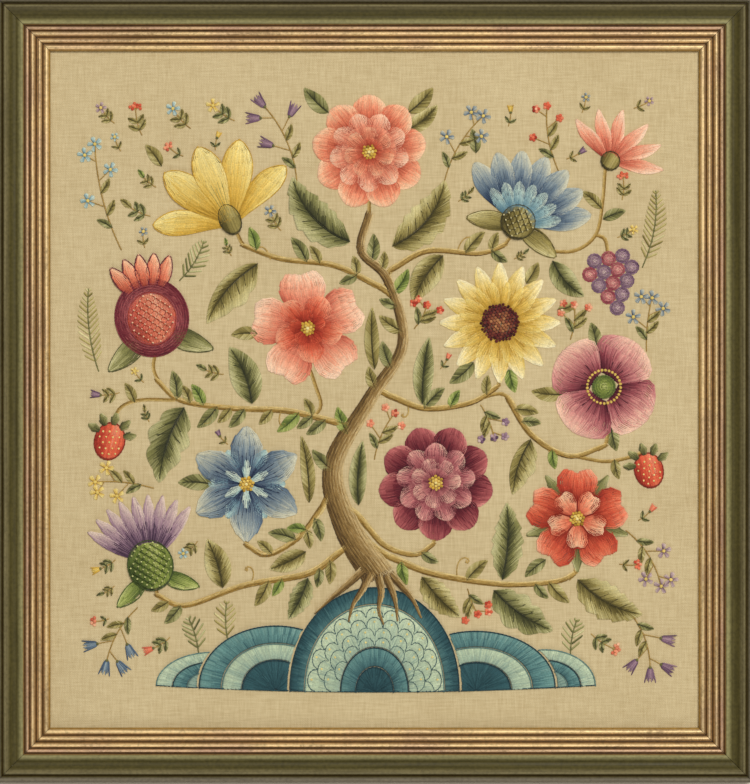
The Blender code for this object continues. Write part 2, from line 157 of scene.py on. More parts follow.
TRUNK = Branch("trunk", 25.0, 6.0, (
    (3, -140), (-20, -104), (-31, -58), (-4, -8), (21, 34), (10, 82), (-10, 104), (-4, 131)))
TRUNK_FLARE = 2.2
BRANCHES = (
    Branch("branch_low_left", 5.0, 3.4, (
        (-26, -122), (-50, -138), (-98, -147), (-142, -162), (-163, -154))),
    Branch("branch_gentian", 4.4, 3.4, ((-39, -88), (-56, -110), (-80, -124), (-96, -116.5))),
    Branch("branch_peony", 4.4, 3.4, ((-8, -99.5), (8, -117), (30, -124), (44, -116))),
    Branch("branch_low_right", 5.0, 3.4, (
        (10.6, -125), (44, -138), (96, -146), (136, -144), (150, -138))),
    Branch("branch_aster", 4.6, 3.4, ((10, -4), (38, -14), (72, -10), (92, 2))),
    Branch("branch_left", 4.6, 3.2, ((-27, -25), (-66, -16), (-108, -14), (-146, -8), (-163, 7))),
    Branch("branch_right", 4.6, 3.2, ((100, -6), (118, -34), (146, -50), (173, -42))),
    Branch("branch_lily", 4.4, 3.2, ((4, 77), (-30, 93), (-70, 98), (-98, 108))),
    Branch("branch_palmette", 4.4, 3.2, ((12.5, 90), (40, 104), (78, 102), (97, 108))),
)

# Rings of petals round a blossom's centre, whose top is at 90 degrees, then what fills its heart.
# A wool of 0 to 3 is one of the blossom's own, and tones run from the rim to the heart. A layer's foot is
# how near the heart its stitches reach, as a share of its petals, where others lie over them.
PEONY_RINGS = (
    Petals(9, 90, 40, 2, 42, 13.6, 0.86, 1.9, 0.16),
    Petals(9, 110, 40, 1, 30, 9.6, 0.88, 1.6, 0.14),
    Petals(7, 90, 360 / 7, 1, 19, 7.4, 0.90, 1.5, 0.10),
)
FORMS = {
    "rose": Form((
        Layer(Petals(5, 90, 72, 2, 41, 18.2, 0.90, 1.5, -0.05), 0, (0.0, 1.0), 5, 0, foot=0.22),
        Layer(Petals(5, 126, 72, 1, 26, 11.0, 0.92, 1.4, 0.10), 1, (0.0, 1.0), 4, 1, foot=0.20),
        Layer(Petals(5, 90, 72, 1, 14, 6.5, 0.92, 1.3, 0.10), 1, (0.45, 1.0), 2, 2, foot=0.20),
    ), (Heart("knots", 0, 0, 5.5, 5.5, 2, 3),)),
    "peony": Form((
        Layer(PEONY_RINGS[0], 0, (0.0, 1.1), 4, 0, foot=0.42),
        Layer(PEONY_RINGS[1], 1, (0.0, 1.1), 4, 1, foot=0.30),
        Layer(PEONY_RINGS[2], 0, (0.05, 1.1), 3, 2, foot=0.15),
    ), (Heart("knots", 0, 0, 6, 6, 2, 3),)),
    "dark_peony": Form((
        Layer(PEONY_RINGS[0], 0, (0.40, 1.1), 4, 0, foot=0.42),
        Layer(PEONY_RINGS[1], 1, (0.18, 1.0), 4, 1, foot=0.30),
        Layer(PEONY_RINGS[2], 1, (0.0, 0.9), 3, 2, foot=0.15),
    ), (Heart("knots", 0, 0, 6, 6, 2, 3),)),
    "aster": Form((
        Layer(Petals(16, 90, 22.5, 8, 38, 7.0, 1.0, 0.95), 0, (0.0, 0.9), 4, 0, None, (1, 0.8), 0.30),
        Layer(Petals(16, 101.25, 22.5, 8, 24, 4.4, 1.0, 0.95), 1, (0.15, 0.9), 3, 1, foot=0.15),
    ), (Heart("knots", 0, 0, 14.5, 14.5, 2, 4),)),
    "gentian": Form((
        Layer(Petals(6, 120, 60, 3, 27, 8.0, 1.0, 1.1), 1, (0.2, 0.9), 2, 0, foot=0.35),
        Layer(Petals(6, 90, 60, 3, 41, 13.0, 1.0, 1.05), 0, (0.0, 1.0), 5, 1, None, (0, 1.0)),
        Layer(Petals(6, 90, 60, 2, 18, 4.2, 1.0, 1.0), 1, (0.0, 0.2), 2, 2),
    ), (Heart("knots", 0, 0, 5.5, 5.5, 2, 4),)),
    "poppy": Form((
        Layer(Petals(4, 45, 90, 2, 40, 24.5, 0.88, 1.5, 0.14), 0, (0.0, 1.0), 5, 0, None, (0, 1.0), 0.16),
    ), (Heart("rings", 0, 0, 9, 9, 2, 2), Heart("crown", 0, 0, 12.5, 12.5, 1, 2))),
    "tudor": Form((
        Layer(Petals(5, 126, 72, 20, 21, 4.6, 1.0, 0.9), 1, (0.2, 0.8), 2, 0),
        Layer(Petals(5, 90, 72, 2, 36, 16.5, 0.90, 1.4, -0.08), 0, (0.2, 1.1), 4, 1, foot=0.26),
        Layer(Petals(5, 126, 72, 2, 21, 9.0, 0.90, 1.3, -0.06), 3, (0.0, 0.7), 3, 2, (0, 0.9), None, 0.12),
    ), (Heart("knots", 0, 0, 5.5, 5.5, 2, 4),)),
    "lily": Form((
        Layer(Petals(1, 34, 0, 0, 60, 10.0, 1.0, 1.8, 0, -9), 0, (0.1, 0.9), 7, 0, (0, 0.75)),
        Layer(Petals(1, 146, 0, 0, 60, 10.0, 1.0, 1.8, 0, 9), 0, (0.1, 0.9), 7, 0, (0, 0.75)),
        Layer(Petals(2, 62, 56, 0, 66, 12.0, 1.0, 1.7), 0, (0.05, 1.0), 7, 1, (0, 0.75)),
        Layer(Petals(1, 90, 0, 0, 66, 12.0, 1.0, 1.7), 0, (0.0, 0.7), 7, 2, (0, 0.75), (1, 0.5)),
    ), (Heart("satin", 0, 6, 8, 12, 1, 3),)),
    "palmette": Form((
        Layer(Petals(1, -4, 0, 0, 38, 7.5, 1.0, 1.0, 0, -6), 1, (0.1, 0.9), 4, 0, (1, 0.7)),
        Layer(Petals(1, 184, 0, 0, 38, 7.5, 1.0, 1.0, 0, 6), 1, (0.1, 0.9), 4, 0, (1, 0.7)),
        Layer(Petals(7, 33, 19, 6, 52, 9.2, 0.84, 1.7, 0.20), 0, (0.0, 1.1), 5, 1, foot=0.32),
        Layer(Petals(7, 33, 19, 6, 30, 5.2, 0.88, 1.5, 0.15), 2, (0.0, 1.0), 3, 2, foot=0.15),
    ), (Heart("trellis", 0, 4, 13, 13, 1, 4),)),
    "pomegranate": Form((
        Layer(Petals(1, -48, 0, 14, 38, 8.5, 1.0, 0.8, 0, 8), 1, (0.1, 0.9), 4, 0, (1, 0.7)),
        Layer(Petals(1, -132, 0, 14, 38, 8.5, 1.0, 0.8, 0, -8), 1, (0.1, 0.9), 4, 0, (1, 0.7)),
        Layer(Petals(5, 62, 14, 22, 27, 5.4, 1.0, 0.9), 2, (0.0, 0.95), 3, 1, (0, 0.75)),
    ), (Heart("rings", 0, 0, 28, 30, 0, 2), Heart("trellis", 0, -1, 18, 20, 2, 3))),
    "thistle": Form((
        Layer(Petals(1, -46, 0, 10, 30, 6.5, 1.0, 0.9, 0, 6), 1, (0.1, 0.9), 3, 0, (1, 0.8)),
        Layer(Petals(1, -134, 0, 10, 30, 6.5, 1.0, 0.9, 0, -6), 1, (0.1, 0.9), 3, 0, (1, 0.8)),
        Layer(Petals(9, 42, 12, 8, 46, 5.0, 1.0, 1.2), 0, (0.0, 0.95), 5, 0, None, (0, 1.0)),
    ), (Heart("trellis", 0, 0, 17, 19, 1, 3),)),
    "honeysuckle": Form((
        Layer(Petals(3, 98, 26, 0, 46, 6.2, 0.93, 1.5, 0.2, 6), 0, (0.0, 1.0), 5, 0, foot=0.1),
        Layer(Petals(3, 30, 26, 0, 46, 6.2, 0.93, 1.5, 0.2, -6), 0, (0.0, 1.0), 5, 0, foot=0.1),
    ), (Heart("satin", 0, 2, 8, 8, 2, 3),)),
    "grapes": Form((), tuple(
        Heart("rings", 10.6 * (i - (n - 1) / 2), 14.5 - 9.4 * row, 6.0, 6.0, (i + row) % 2, 0)
        for row, n in enumerate((3, 4, 3, 2, 1)) for i in range(n)
    )),
    "strawberry": Form((
        Layer(Petals(5, 18, 36, 9, 12, 4.0, 1.0, 0.9), 1, (0.2, 0.9), 2, 1),
    ), (Heart("satin", 0, -3, 12, 15, 0, 0), Heart("seeds", 0, -4, 10, 12, 2, 1))),
}

BLOSSOMS = (
    Blossom("peony_top", "peony", -4, 178, 0, 1.0, ("coral", "salmon", "yellow")),
    Blossom("lily_left", "lily", -106, 122, 24, 1.0, ("yellow", "olive", "yellow")),
    Blossom("palmette_right", "palmette", 106, 122, -24, 1.0, ("blue", "olive", "sky")),
    Blossom("rose_left", "rose", -50, 46, 8, 1.0, ("salmon", "red", "yellow")),
    Blossom("aster_right", "aster", 94, 50, 0, 1.0, ("cream", "yellow", "brown")),
    Blossom("pomegranate_left", "pomegranate", -167, 54, 12, 1.0, ("burgundy", "leaf", "coral")),
    Blossom("poppy_right", "poppy", 172, 2, 10, 1.0, ("plum", "yellow", "moss")),
    Blossom("gentian_left", "gentian", -96, -71, 0, 1.0, ("blue", "sky", "yellow")),
    Blossom("peony_low", "dark_peony", 46, -70, 20, 1.0, ("burgundy", "plum", "yellow")),
    Blossom("tudor_rose_right", "tudor", 152, -97, 0, 1.0, ("red", "leaf", "yellow", "coral")),
    Blossom("thistle_left", "thistle", -168, -132, 14, 1.0, ("purple", "moss", "olive")),
    Blossom("honeysuckle_right", "honeysuckle", 176, 170, -30, 0.9, ("salmon", "coral", "olive")),
    Blossom("grapes_right", "grapes", 178, 84, 10, 1.0, ("purple", "plum", "purple")),
    Blossom("strawberry_left", "strawberry", -198, -36, -14, 0.95, ("red", "leaf", "yellow")),
    Blossom("strawberry_right", "strawberry", 205, -58, 16, 0.9, ("red", "leaf", "yellow")),
)

LEAVES = (
    Leaf("leaf_top_left", -19, 111, 131, 68, 16, -60, "toothed", "leaf"),
    Leaf("leaf_top_right", 14, 108, 52, 66, 16, 60, "toothed", "olive"),
    Leaf("leaf_lily", -88, 94, 230, 60, 18, 40, "curl", "olive"),
    Leaf("leaf_rose", 0, 16, 92, 46, 6, -14, "plain", "olive"),
    Leaf("leaf_rose_low", -92, -10, 112, 46, 12, 30, "plain", "leaf"),
    Leaf("leaf_left", -143, -14, 252, 60, 17, 30, "lobed", "leaf"),
    Leaf("leaf_thistle", -114, -148, 108, 38, 10, 20, "plain", "olive"),
    Leaf("leaf_gentian", -52, -122, 205, 30, 8, -20, "plain", "olive"),
    Leaf("leaf_trunk_left", -49, -84, 97, 50, 5.6, 16, "plain", "olive"),
    Leaf("leaf_trunk_right", -12, -86, 86, 48, 7, -20, "plain", "leaf"),
    Leaf("leaf_low_left", -50, -142, 244, 34, 9, -20, "toothed", "leaf"),
    Leaf("leaf_low_middle", 36, -141, 314, 42, 11, 20, "toothed", "olive"),
    Leaf("leaf_low_right", 90, -151, 326, 54, 15, 30, "lobed", "leaf"),
    Leaf("leaf_tudor", 153, -143, 332, 56, 15, 40, "toothed", "olive"),
    Leaf("leaf_peony", 96, -142, 87, 58, 13, 20, "toothed", "leaf"),
    Leaf("leaf_right", 117, -38, 252, 44, 14, 30, "curl", "olive"),
    Leaf("leaf_aster", 36, -10, 84, 50, 8, -16, "plain", "leaf"),
    Leaf("leaf_palmette", 134, 96, 312, 36, 9, 40, "plain", "leaf"),
    Leaf("leaf_palmette_low", 51, 100, 238, 42, 11, 30, "plain", "olive"),
)

# What fills the open ground between the larger pieces
SPRIG_KINDS = ("stars", "bells", "berries", "fern")
SPRIGS = (
    Sprig(-190, 105, 104, 82, -24, "stars", "sky"),
    Sprig(-58, 152, 112, 66, 40, "bells", "purple"),
    Sprig(52, 154, 60, 60, -36, "stars", "blue"),
    Sprig(138, 164, 100, 50, -30, "berries", "red"),
    Sprig(201, 92, 80, 58, 30, "fern", "olive"),
    Sprig(-207, 14, 97, 62, -24, "fern", "olive"),
    Sprig(-146, 82, 58, 34, 30, "fern", "leaf"),
    Sprig(204, 29, 84, 40, -16, "stars", "blue"),
    Sprig(147, 38, 84, 26, 30, "berries", "coral"),
    Sprig(0, -52, 66, 38, -30, "berries", "coral"),
    Sprig(80, -12, 292, 26, -20, "berries", "purple"),
    Sprig(-166, -74, 174, 44, 22, "stars", "yellow"),
    Sprig(189, -106, 302, 50, -40, "stars", "purple"),
    Sprig(-178, -164, 240, 46, 36, "bells", "blue"),
    Sprig(192, -168, 290, 44, -40, "bells", "purple"),
    Sprig(-132, -197, 106, 26, 20, "fern", "leaf"),
    Sprig(-110, -188, 92, 28, -20, "fern", "olive"),
    Sprig(147, -199, 80, 26, -20, "fern", "leaf"),
    Sprig(70, -150, 292, 20, 20, "berries", "red"),
    Sprig(30, 46, 62, 20, 30, "berries", "red"),
)

# Stalks that lead from a branch into its blossom, each with its places
STALKS = (
    ((-4, 128), (-4, 134), (-4, 142)),
    ((-94, 106), (-99, 109), (-103, 117)),
    ((92, 107), (98, 109), (102, 115)),
    ((-46, -21), (-40, -12), (-44, 2), (-48, 14)),
    ((88, -2), (93, 3), (94, 12)),
    ((80, -6.5), (90, -3.5), (97, -3.5), (102, -8.5), (107, -16)),
    ((-157, 0), (-163, 8), (-166, 17), (-164, 28)),
    ((168, -45), (173, -42), (175, -34)),
    ((-92, -119), (-96, -116), (-97, -108)),
    ((40, -119), (44, -116), (45, -108)),
    ((146, -142), (150, -138), (152, -130)),
    ((-160, -157), (-163, -154), (-164, -147)),
    ((128, 104), (150, 104), (166, 116), (171, 140), (173, 166)),
    ((166, 116), (173, 113), (175, 102)),
    ((150, -50), (174, -54), (194, -50), (202, -46)),
    ((-150, -8), (-176, -8), (-191, -14), (-195, -26)),
)

# Where branches fork off under the trunk's edge, from inside the branch to inside the trunk
FORKS = (
    ((-32, -24.2), (-27, -25), (-21, -26), (-15, -28)),
    ((-31, -125.8), (-26, -122), (-20, -117), (-14, -112)),
    ((-41.5, -92.5), (-39, -88), (-36, -82), (-33, -76)),
    ((-4.5, -104.5), (-8, -99.5), (-14, -93), (-23, -87)),
    ((15, -127), (10.6, -125), (3, -120.5), (-5, -114)),
    ((14, -6.2), (10, -4), (4.5, -0.5), (-1, 4.5)),
    ((-1, 79.5), (4, 77), (10, 73), (15, 68)),
    ((16.5, 92.2), (12.5, 90), (9.8, 86.5), (9.5, 81)),
)
FORK_WIDTH = 4.5

# Curling tendrils: x, y, heading, size and the hand they turn to
TENDRILS = (
    (-94, -148, 62, 15, 1),
    (62, -142, 96, 17, -1),
    (128, -42, 300, 12, 1),
    (-70, -16, 250, 12, 1),
    (62, 103, 74, 15, -1),
    (-78, 97, 104, 13, 1),
    (-120, -15, 262, 13, -1),
    (24, -9, 290, 12, -1),
)

# Small leaves that show from behind the blossoms: x, y, heading, length, half width, bend and wool
TUCKED_LEAVES = tuple(Leaf("tucked", *sizes, "plain", wool) for *sizes, wool in (
    (26, 208, 46, 26, 6.5, 20, "olive"),
    (-35, 208, 134, 26, 6.5, -20, "leaf"),
    (-88, 42, 184, 20, 5.5, 20, "olive"),
    (-122, -71, 178, 26, 6.5, 20, "leaf"),
    (170, 136, 140, 20, 4.5, 20, "olive"),
    (172, 128, 20, 18, 4.5, -20, "leaf"),
    (180, -53, 284, 15, 4.0, 20, "olive"),
    (-180, -9, 118, 16, 4.0, 20, "olive"),
    (138, 60, 18, 14, 4.0, 20, "olive"),
    (76, 178, 100, 18, 4.6, 20, "leaf"),
    (-160, 168, 128, 20, 5.0, 20, "olive"),
    (128, -128, 220, 20, 5.0, 20, "leaf"),
))

# The trunk's roots, which spread over the middle hillock
ROOTS = (
    ((-9, -136), (-20, -146), (-32, -156), (-43, -166)),
    ((-3, -138), (-9, -150), (-16, -161), (-19, -172)),
    ((3, -139), (5, -152), (3, -164), (6, -174)),
    ((8, -139), (13, -150), (16, -161), (17, -171)),
    ((12, -138), (21, -148), (29, -158), (34, -169)),
)
ROOT_WIDTHS = (6.5, 1.2)
ROOT_LIFT = 0.9  # the roots lie over the hillock
FORK_LIFT = -0.22  # the forks pass under the edge of the trunk

# The field that small growth fills, and what it is sewn in, each kind with its wools
FIELD_HALF_WIDTH = 214.0
FIELD_TOP = 224.0
FIELD_BOTTOM = -214.0
SPOT_STEP = 4.0
LEAST_ROOM = 7.8
MOST_ROOM = 13.0
SPARE_ROOM = 1.4  # bare linen left round each
SEEDLINGS = (
    ("star", "sky"), ("berries", "red"), ("bud", "coral"), ("star", "yellow"), ("twig", "olive"),
    ("bud", "purple"), ("berries", "coral"), ("star", "blue"), ("twig", "leaf"), ("bud", "yellow"),
    ("star", "purple"), ("twig", "moss"),
)

# Height above the linen, in millimetres
RIM_RISE = 0.75
SMALL_RISE = RIM_RISE * 0.8  # of small leaves
TUCKED_RISE = 0.15  # of leaves that lie under a blossom
CROWN_RISE = 0.55
LAYER_RISE = 0.34
LINE_RISE = 0.28
SATIN_FALL = 0.35  # how much lower the rim of a satin field lies than its middle
SUNK = 0.45  # how far each stitch's foot lies in the cloth, so that it shows no gap at an uneven spot

# One strand in six is sewn in a darker wool than its neighbours
FLECK = 0.14
FLECK_SHARE = 0.16
BLEND = 0.85  # how much of its row's shading one strand shows along its own length
EASE = 1.3  # over 1, a field stays pale further in from its rim

# How stitches are laid
STEM_LAP = 0.35  # how far a stem stitch laps over the next, as a share of its step
STEM_LEAN = 0.16  # how far it leans to one side, as a share of its width
LEAST_STRAND = 1.2  # what is left of a strand at the edge of a shape is dropped when shorter
SATIN_LENGTH = 11.0  # satin stitches much longer than this are laid in pieces
ONE_LENGTH = 6.5  # a leaf's side narrower than this is sewn in one length
LEAST_VEINED = 8.5  # a leaf with a smaller half width has no side veins
VEIN_SPACING = 8.5
TRELLIS_SPACING = 4.2
LATTICE_ROW = 0.866  # distance of a lattice's rows, as a share of its spacing
ROUND_STEPS = 60
PATH_STEPS, STALK_STEPS = 12, 8  # steps on a curve from one given place to the next


def linear_of(code):
    """The linear colour of an sRGB hex code."""
    parts = [int(code[i:i + 2], 16) / 255 for i in (1, 3, 5)]
    return tuple(p / 12.92 if p <= 0.04045 else ((p + 0.055) / 1.055) ** 2.4 for p in parts)


def length_property(name, description, default):
    """A length in the panel, whose default is given in millimetres."""
    return bpy.props.FloatProperty(
        name=name, description=description, default=default * MM, min=0.0, precision=5,
        unit="LENGTH", subtype="DISTANCE",
    )


def colour_property(name, description, code):
    return bpy.props.FloatVectorProperty(
        name=name, description=description, default=linear_of(code), min=0.0, max=1.0, size=3,
        subtype="COLOR",
    )


class CrewelWool(bpy.types.PropertyGroup):
    """Sizes of the wool and of the stitches."""

    strand_width: length_property("Strand width", "Width of one strand of crewel wool", 1.05)
    lane_spacing: length_property("Lane spacing", "Distance between strands lying side by side", 0.72)
    line_width: length_property("Line width", "Width of the wool in outlines and stems", 1.0)
    line_step: length_property("Line step", "Distance from one stem stitch to the next", 3.0)
    knot_width: length_property("Knot width", "Width of a French knot", 2.7)
    ply_pitch: length_property("Ply pitch", "Length of one turn of the wool's twist", 2.0)
    unevenness: length_property("Unevenness", "How much one strand lies higher than the next", 0.13)
    dye_spread: bpy.props.FloatProperty(
        name="Dye spread", description="How much one strand is lighter than the next",
        default=0.09, min=0.0, max=1.0, subtype="FACTOR",
    )
    seed: bpy.props.IntProperty(name="Seed", description="Fixes the hand's unevenness", default=7)


class CrewelShades(bpy.types.PropertyGroup):
    """The dyed wools, four shades of each."""

    __annotations__ = {
        f"{wool}_{shade}": colour_property(
            f"{wool} {shade}".capitalize(), f"The {shade} shade of the {wool} wool", code)
        for wool, codes in SHADES.items() for shade, code in zip(SHADE_NAMES, codes)
    }


class CrewelLinen(bpy.types.PropertyGroup):
    """The ground cloth."""

    thread_pitch: length_property(
        "Thread pitch", "Distance between threads, a little coarser than real so that it shows", 0.85)
    unevenness: length_property("Unevenness", "How far the stretched cloth rises and falls", 0.25)
    flax: colour_property("Flax", "Colour of the unbleached cloth", "#D7C396")
    slub: colour_property("Slub", "Colour of its darker, thicker threads", "#B9A274")


class CrewelMoulding(bpy.types.PropertyGroup):
    """The finish of the rails and the board."""

    gold: colour_property("Gold", "Worn leaf on the ridges", "#E6C893")
    pink_gold: colour_property("Red gold", "Leaf over red clay on the outer ridges", "#C8A486")
    edge: colour_property("Sight edge", "Rubbed stain beside the linen", "#9A7636")
    # Painted shade: the brown on the slopes between the ridges, where no leaf is laid, stands in for the
    # shade there.
    clay: colour_property("Clay", "Brown ground where the leaf is rubbed off between the ridges", "#8A6434")
    # Painted shade: the dark colour along the bottoms of the grooves stands in for the shadow there.
    groove: colour_property("Groove", "Dark stain in the bottoms of the grooves", "#2E1A06")
    green: colour_property("Green", "Olive stain of the hollow", "#4E4620")
    moss: colour_property("Lip green", "Greyer stain where the hollow's lip is rubbed", "#8E8659")
    bead: colour_property("Bead", "Rubbed stain of the outer bead", "#746A48")
    rim: colour_property("Rim", "Rubbed outer rim", "#6E6552")
    bare: colour_property("Bare wood", "Unstained wood of the back", "#B89468")
    card: colour_property("Card", "Grey board behind the linen", "#8C8271")


class CrewelStage(bpy.types.PropertyGroup):
    """Camera, light and floor."""

    distance: bpy.props.FloatProperty(
        name="Camera distance", description="From the linen to the camera", default=2.4,
        unit="LENGTH", subtype="DISTANCE",
    )
    key_power: bpy.props.FloatProperty(
        name="Key power", description="Power of the large lamp", default=201.0, unit="POWER")
    fill: bpy.props.FloatProperty(
        name="Fill", description="Strength of the pale surroundings", default=0.36, min=0.0)
    floor: colour_property("Floor", "Plain pale floor", "#DAD0BE")


class CrewelPicture(bpy.types.PropertyGroup):
    """All that a user can change."""

    wool: bpy.props.PointerProperty(type=CrewelWool, name="Wool")
    shades: bpy.props.PointerProperty(type=CrewelShades, name="Shades")
    linen: bpy.props.PointerProperty(type=CrewelLinen, name="Linen")
    moulding: bpy.props.PointerProperty(type=CrewelMoulding, name="Moulding")
    stage: bpy.props.PointerProperty(type=CrewelStage, name="Stage")


def set_inputs(node, inputs):
    """Gives a node's inputs, by name or in order, their values or what other nodes give."""
    for key, value in inputs.items() if isinstance(inputs, dict) else enumerate(inputs):
        if isinstance(value, bpy.types.Node):
            value = next(socket for socket in value.outputs if socket.enabled)
        if isinstance(value, bpy.types.NodeSocket):
            node.id_data.links.new(value, node.inputs[key])
        else:
            node.inputs[key].default_value = value


def add_node(tree, kind, inputs=(), **settings):
    """A node with its settings and its inputs."""
    node = tree.nodes.new(kind)
    for name, value in settings.items():
        setattr(node, name, value)
    set_inputs(node, inputs)
    return node


# Places and directions on the cloth

def paired(first, second):
    """Two rows of numbers as pairs."""
    return np.stack([first, second], axis=-1)


def shares(count):
    """The middles of so many equal shares of 1."""
    return (np.arange(count) + 0.5) / count


def turned(points, angle):
    """Points turned round the origin by an angle in degrees."""
    c, s = math.cos(math.radians(angle)), math.sin(math.radians(angle))
    return points @ np.array([[c, s], [-s, c]])


def beyond(spot, reach, angle):
    """The place that lies so far from a spot at an angle in degrees."""
    return spot + turned(np.array([[reach, 0.0]]), angle)[0]


def headings_of(steps):
    """The angle of each step in degrees."""
    return np.degrees(np.arctan2(steps[:, 1], steps[:, 0]))


def ahead_of(left):
    """Steps ahead, from steps to the left."""
    return paired(left[:, 1], -left[:, 0])


def directions(path):
    """Steps of 1 ahead and to the left at each point of a path."""
    ahead = np.gradient(path, axis=0)
    ahead /= np.maximum(np.linalg.norm(ahead, axis=1), 1e-6)[:, None]
    return ahead, paired(-ahead[:, 1], ahead[:, 0])


def resample(path, step):
    """Points along a path at about even steps, with both of its ends."""
    path = np.asarray(path, float)
    run = np.concatenate([[0], np.cumsum(np.linalg.norm(np.diff(path, axis=0), axis=1))])
    at = np.linspace(0, run[-1], max(1, round(run[-1] / step)) + 1)
    return paired(*(np.interp(at, run, column) for column in path.T))


def smooth_path(points, steps):
    """Places along a Catmull-Rom curve through the given ones."""
    knots = np.array(points, float)
    knots = np.vstack([2 * knots[0] - knots[1], knots, 2 * knots[-1] - knots[-2]])
    path = []
    for i in range(1, len(knots) - 2):
        before, here, there, after = knots[i - 1:i + 3]
        for t in np.arange(steps) / steps:
            path.append(
                0.5 * (2 * here + (there - before) * t
                       + (2 * before - 5 * here + 4 * there - after) * t ** 2
                       + (3 * here - before - 3 * there + after) * t ** 3)
            )
    path.append(knots[-2])
    return np.array(path)


def placer(x, y, turn, size):
    """A function that puts a motif's own places on the cloth."""
    return lambda points: turned(np.asarray(points, float) * size, turn) + np.array([x, y])


def placer_of(blossom):
    return placer(blossom.x, blossom.y, blossom.turn, blossom.size)


def ellipse(across, up, count=ROUND_STEPS):
    """A closed ring of places round the origin."""
    angle = np.linspace(0, 2 * math.pi, count + 1)
    return paired(across * np.cos(angle), up * np.sin(angle))


# Stitches

class Sewing:
    """The stitches of one piece. Strands run from a start to an end, and a knot sits on its start."""

    def __init__(self, name, props):
        self.name = name
        self.props = props
        self.random = np.random.default_rng(props.wool.seed + sum(map(ord, name)))
        self.rows = []
        for size in ("strand_width", "lane_spacing", "line_width", "line_step", "knot_width"):
            setattr(self, size, getattr(props.wool, size) / MM)

    def dye(self, wool, tone):
        """Colours of a wool at tones from 0, pale, to 1, dark."""
        shades = np.array([getattr(self.props.shades, f"{wool}_{shade}")[:] for shade in SHADE_NAMES])
        tone = np.clip(np.atleast_1d(tone), 0, 1) * (len(shades) - 1)
        return np.stack([np.interp(tone, np.arange(len(shades)), shade) for shade in shades.T], axis=1)

    def dye_pair(self, wool, near, far):
        """Colours at both ends of strands that shade from one tone into another."""
        return np.hstack([self.dye(wool, near), self.dye(wool, far)])

    def strands(self, start, end, rise, dye, width=None, knot=0):
        """Many stitches at once, in millimetres. rise is the height at each end, dye one colour or two."""
        count = len(start)
        if not count:
            return
        dye = np.tile(dye, 6 // np.shape(dye)[-1])
        width = self.strand_width if width is None else width
        self.rows.append(np.column_stack([
            start, end, np.broadcast_to(rise, (count, 2)), np.broadcast_to(dye, (count, 6)),
            np.broadcast_to(width, (count,)), np.full(count, knot),
        ]))

    def knots(self, spots, rise, dye, width=None):
        rise = np.broadcast_to(rise, len(spots))
        self.strands(spots, spots, paired(rise, rise), dye, self.knot_width if width is None else width, 1)


def lapped(line, ahead, left, lap, lean):
    """Both ends of stem stitches along a line, each lapping over the next and leaning to one side."""
    shift = ahead * lap + left * lean
    return (line - shift)[:-1], (line + shift)[1:]


def sew_line(sewing, path, rise, wool, tone, width=None, step=None):
    """Stem stitch: short strands along a path, each starting beside the middle of the last."""
    step = sewing.line_step if step is None else step
    width = sewing.line_width if width is None else width
    spots = resample(path, step)
    start, end = lapped(spots, *directions(spots), step * STEM_LAP, width * STEM_LEAN)
    tone = tone + sewing.random.normal(0, 0.05, len(start))
    sewing.strands(start, end, (rise, rise), sewing.dye(wool, tone), width)


def fill(sewing, point, rise, rows, wool, tones, inside=None, foot=0.0, tip=1.0, ragged=0.0, side=0.0):
    """Long and short stitch over a field, in rows that lock into each other from its rim to its foot.

    point gives places for u across, from -1 to 1, and v from foot to 1 at the rim. ragged is how far the
    strands at the rim fall short of it, as a share of their row, and side is how much darker one side is
    than the middle.
    """
    edges = np.linspace(tip, foot, rows + 1)
    across = np.linspace(-1, 1, 25)
    for row, (outer, inner) in enumerate(zip(edges, edges[1:])):
        lines = [point(across, np.full(25, v)) for v in (0.9 * outer + 0.1 * inner, (outer + inner) / 2)]
        widest = max(np.linalg.norm(np.diff(line, axis=0), axis=1).sum() for line in lines)
        count = max(2, round(widest / sewing.lane_spacing))
        u = shares(count) * 2 - 1
        depth = outer - inner
        loose = sewing.random.uniform(0, 1, (2, count))
        v_start = outer + (depth * (0.10 + 0.30 * loose[0]) if row else -depth * ragged * loose[0])
        v_end = inner - depth * (0.05 + 0.30 * (np.arange(count) % 2) + 0.20 * loose[1])
        v_end = np.maximum(v_end, foot)
        start, end = point(u, v_start), point(u, v_end)
        high = paired(rise(u, v_start), rise(u, v_end))
        if inside is not None:
            start, end, high, kept = clip(inside, start, end, high)
            u, v_start, v_end = u[kept], v_start[kept], v_end[kept]
        near, far = [np.clip((tip - v) / (tip - foot), 0, 1) ** EASE for v in (v_start, v_end)]
        tone = tones[0] + (tones[1] - tones[0]) * (near + far) / 2 + side * u * abs(u)
        tone += sewing.random.normal(0, 0.05, len(near))
        tone += FLECK * (sewing.random.uniform(0, 1, len(near)) < FLECK_SHARE)
        turn = BLEND * (tones[1] - tones[0]) * (far - near) / 2
        sewing.strands(start, end, high, sewing.dye_pair(wool, tone - turn, tone + turn))


def clip(inside, start, end, high):
    """Each strand's stretch that lies inside a shape, and which strands have one."""
    t = np.linspace(0, 1, 21)
    spots = start[:, None, :] + (end - start)[:, None, :] * t[None, :, None]
    within = inside(spots.reshape(-1, 2)).reshape(len(start), len(t))
    first = within.argmax(axis=1)
    last = len(t) - 1 - within[:, ::-1].argmax(axis=1)
    length = np.linalg.norm(end - start, axis=1) * (t[last] - t[first])
    kept = within.any(axis=1) & (length > LEAST_STRAND)
    ends = [start[kept] + (end - start)[kept] * t[at[kept]][:, None] for at in (first, last)]
    slope = (high[:, 1] - high[:, 0])[kept]
    high = high[kept, :1] + slope[:, None] * paired(t[first[kept]], t[last[kept]])
    return *ends, high, kept


# Blossoms and fruit

def petal_half_width(petals, v):
    """Half the width of a petal at v along it, before any bend."""
    return petals.half_width * np.sin(np.pi * np.clip(petals.span * v, 0, 1) ** petals.peak) ** 0.7


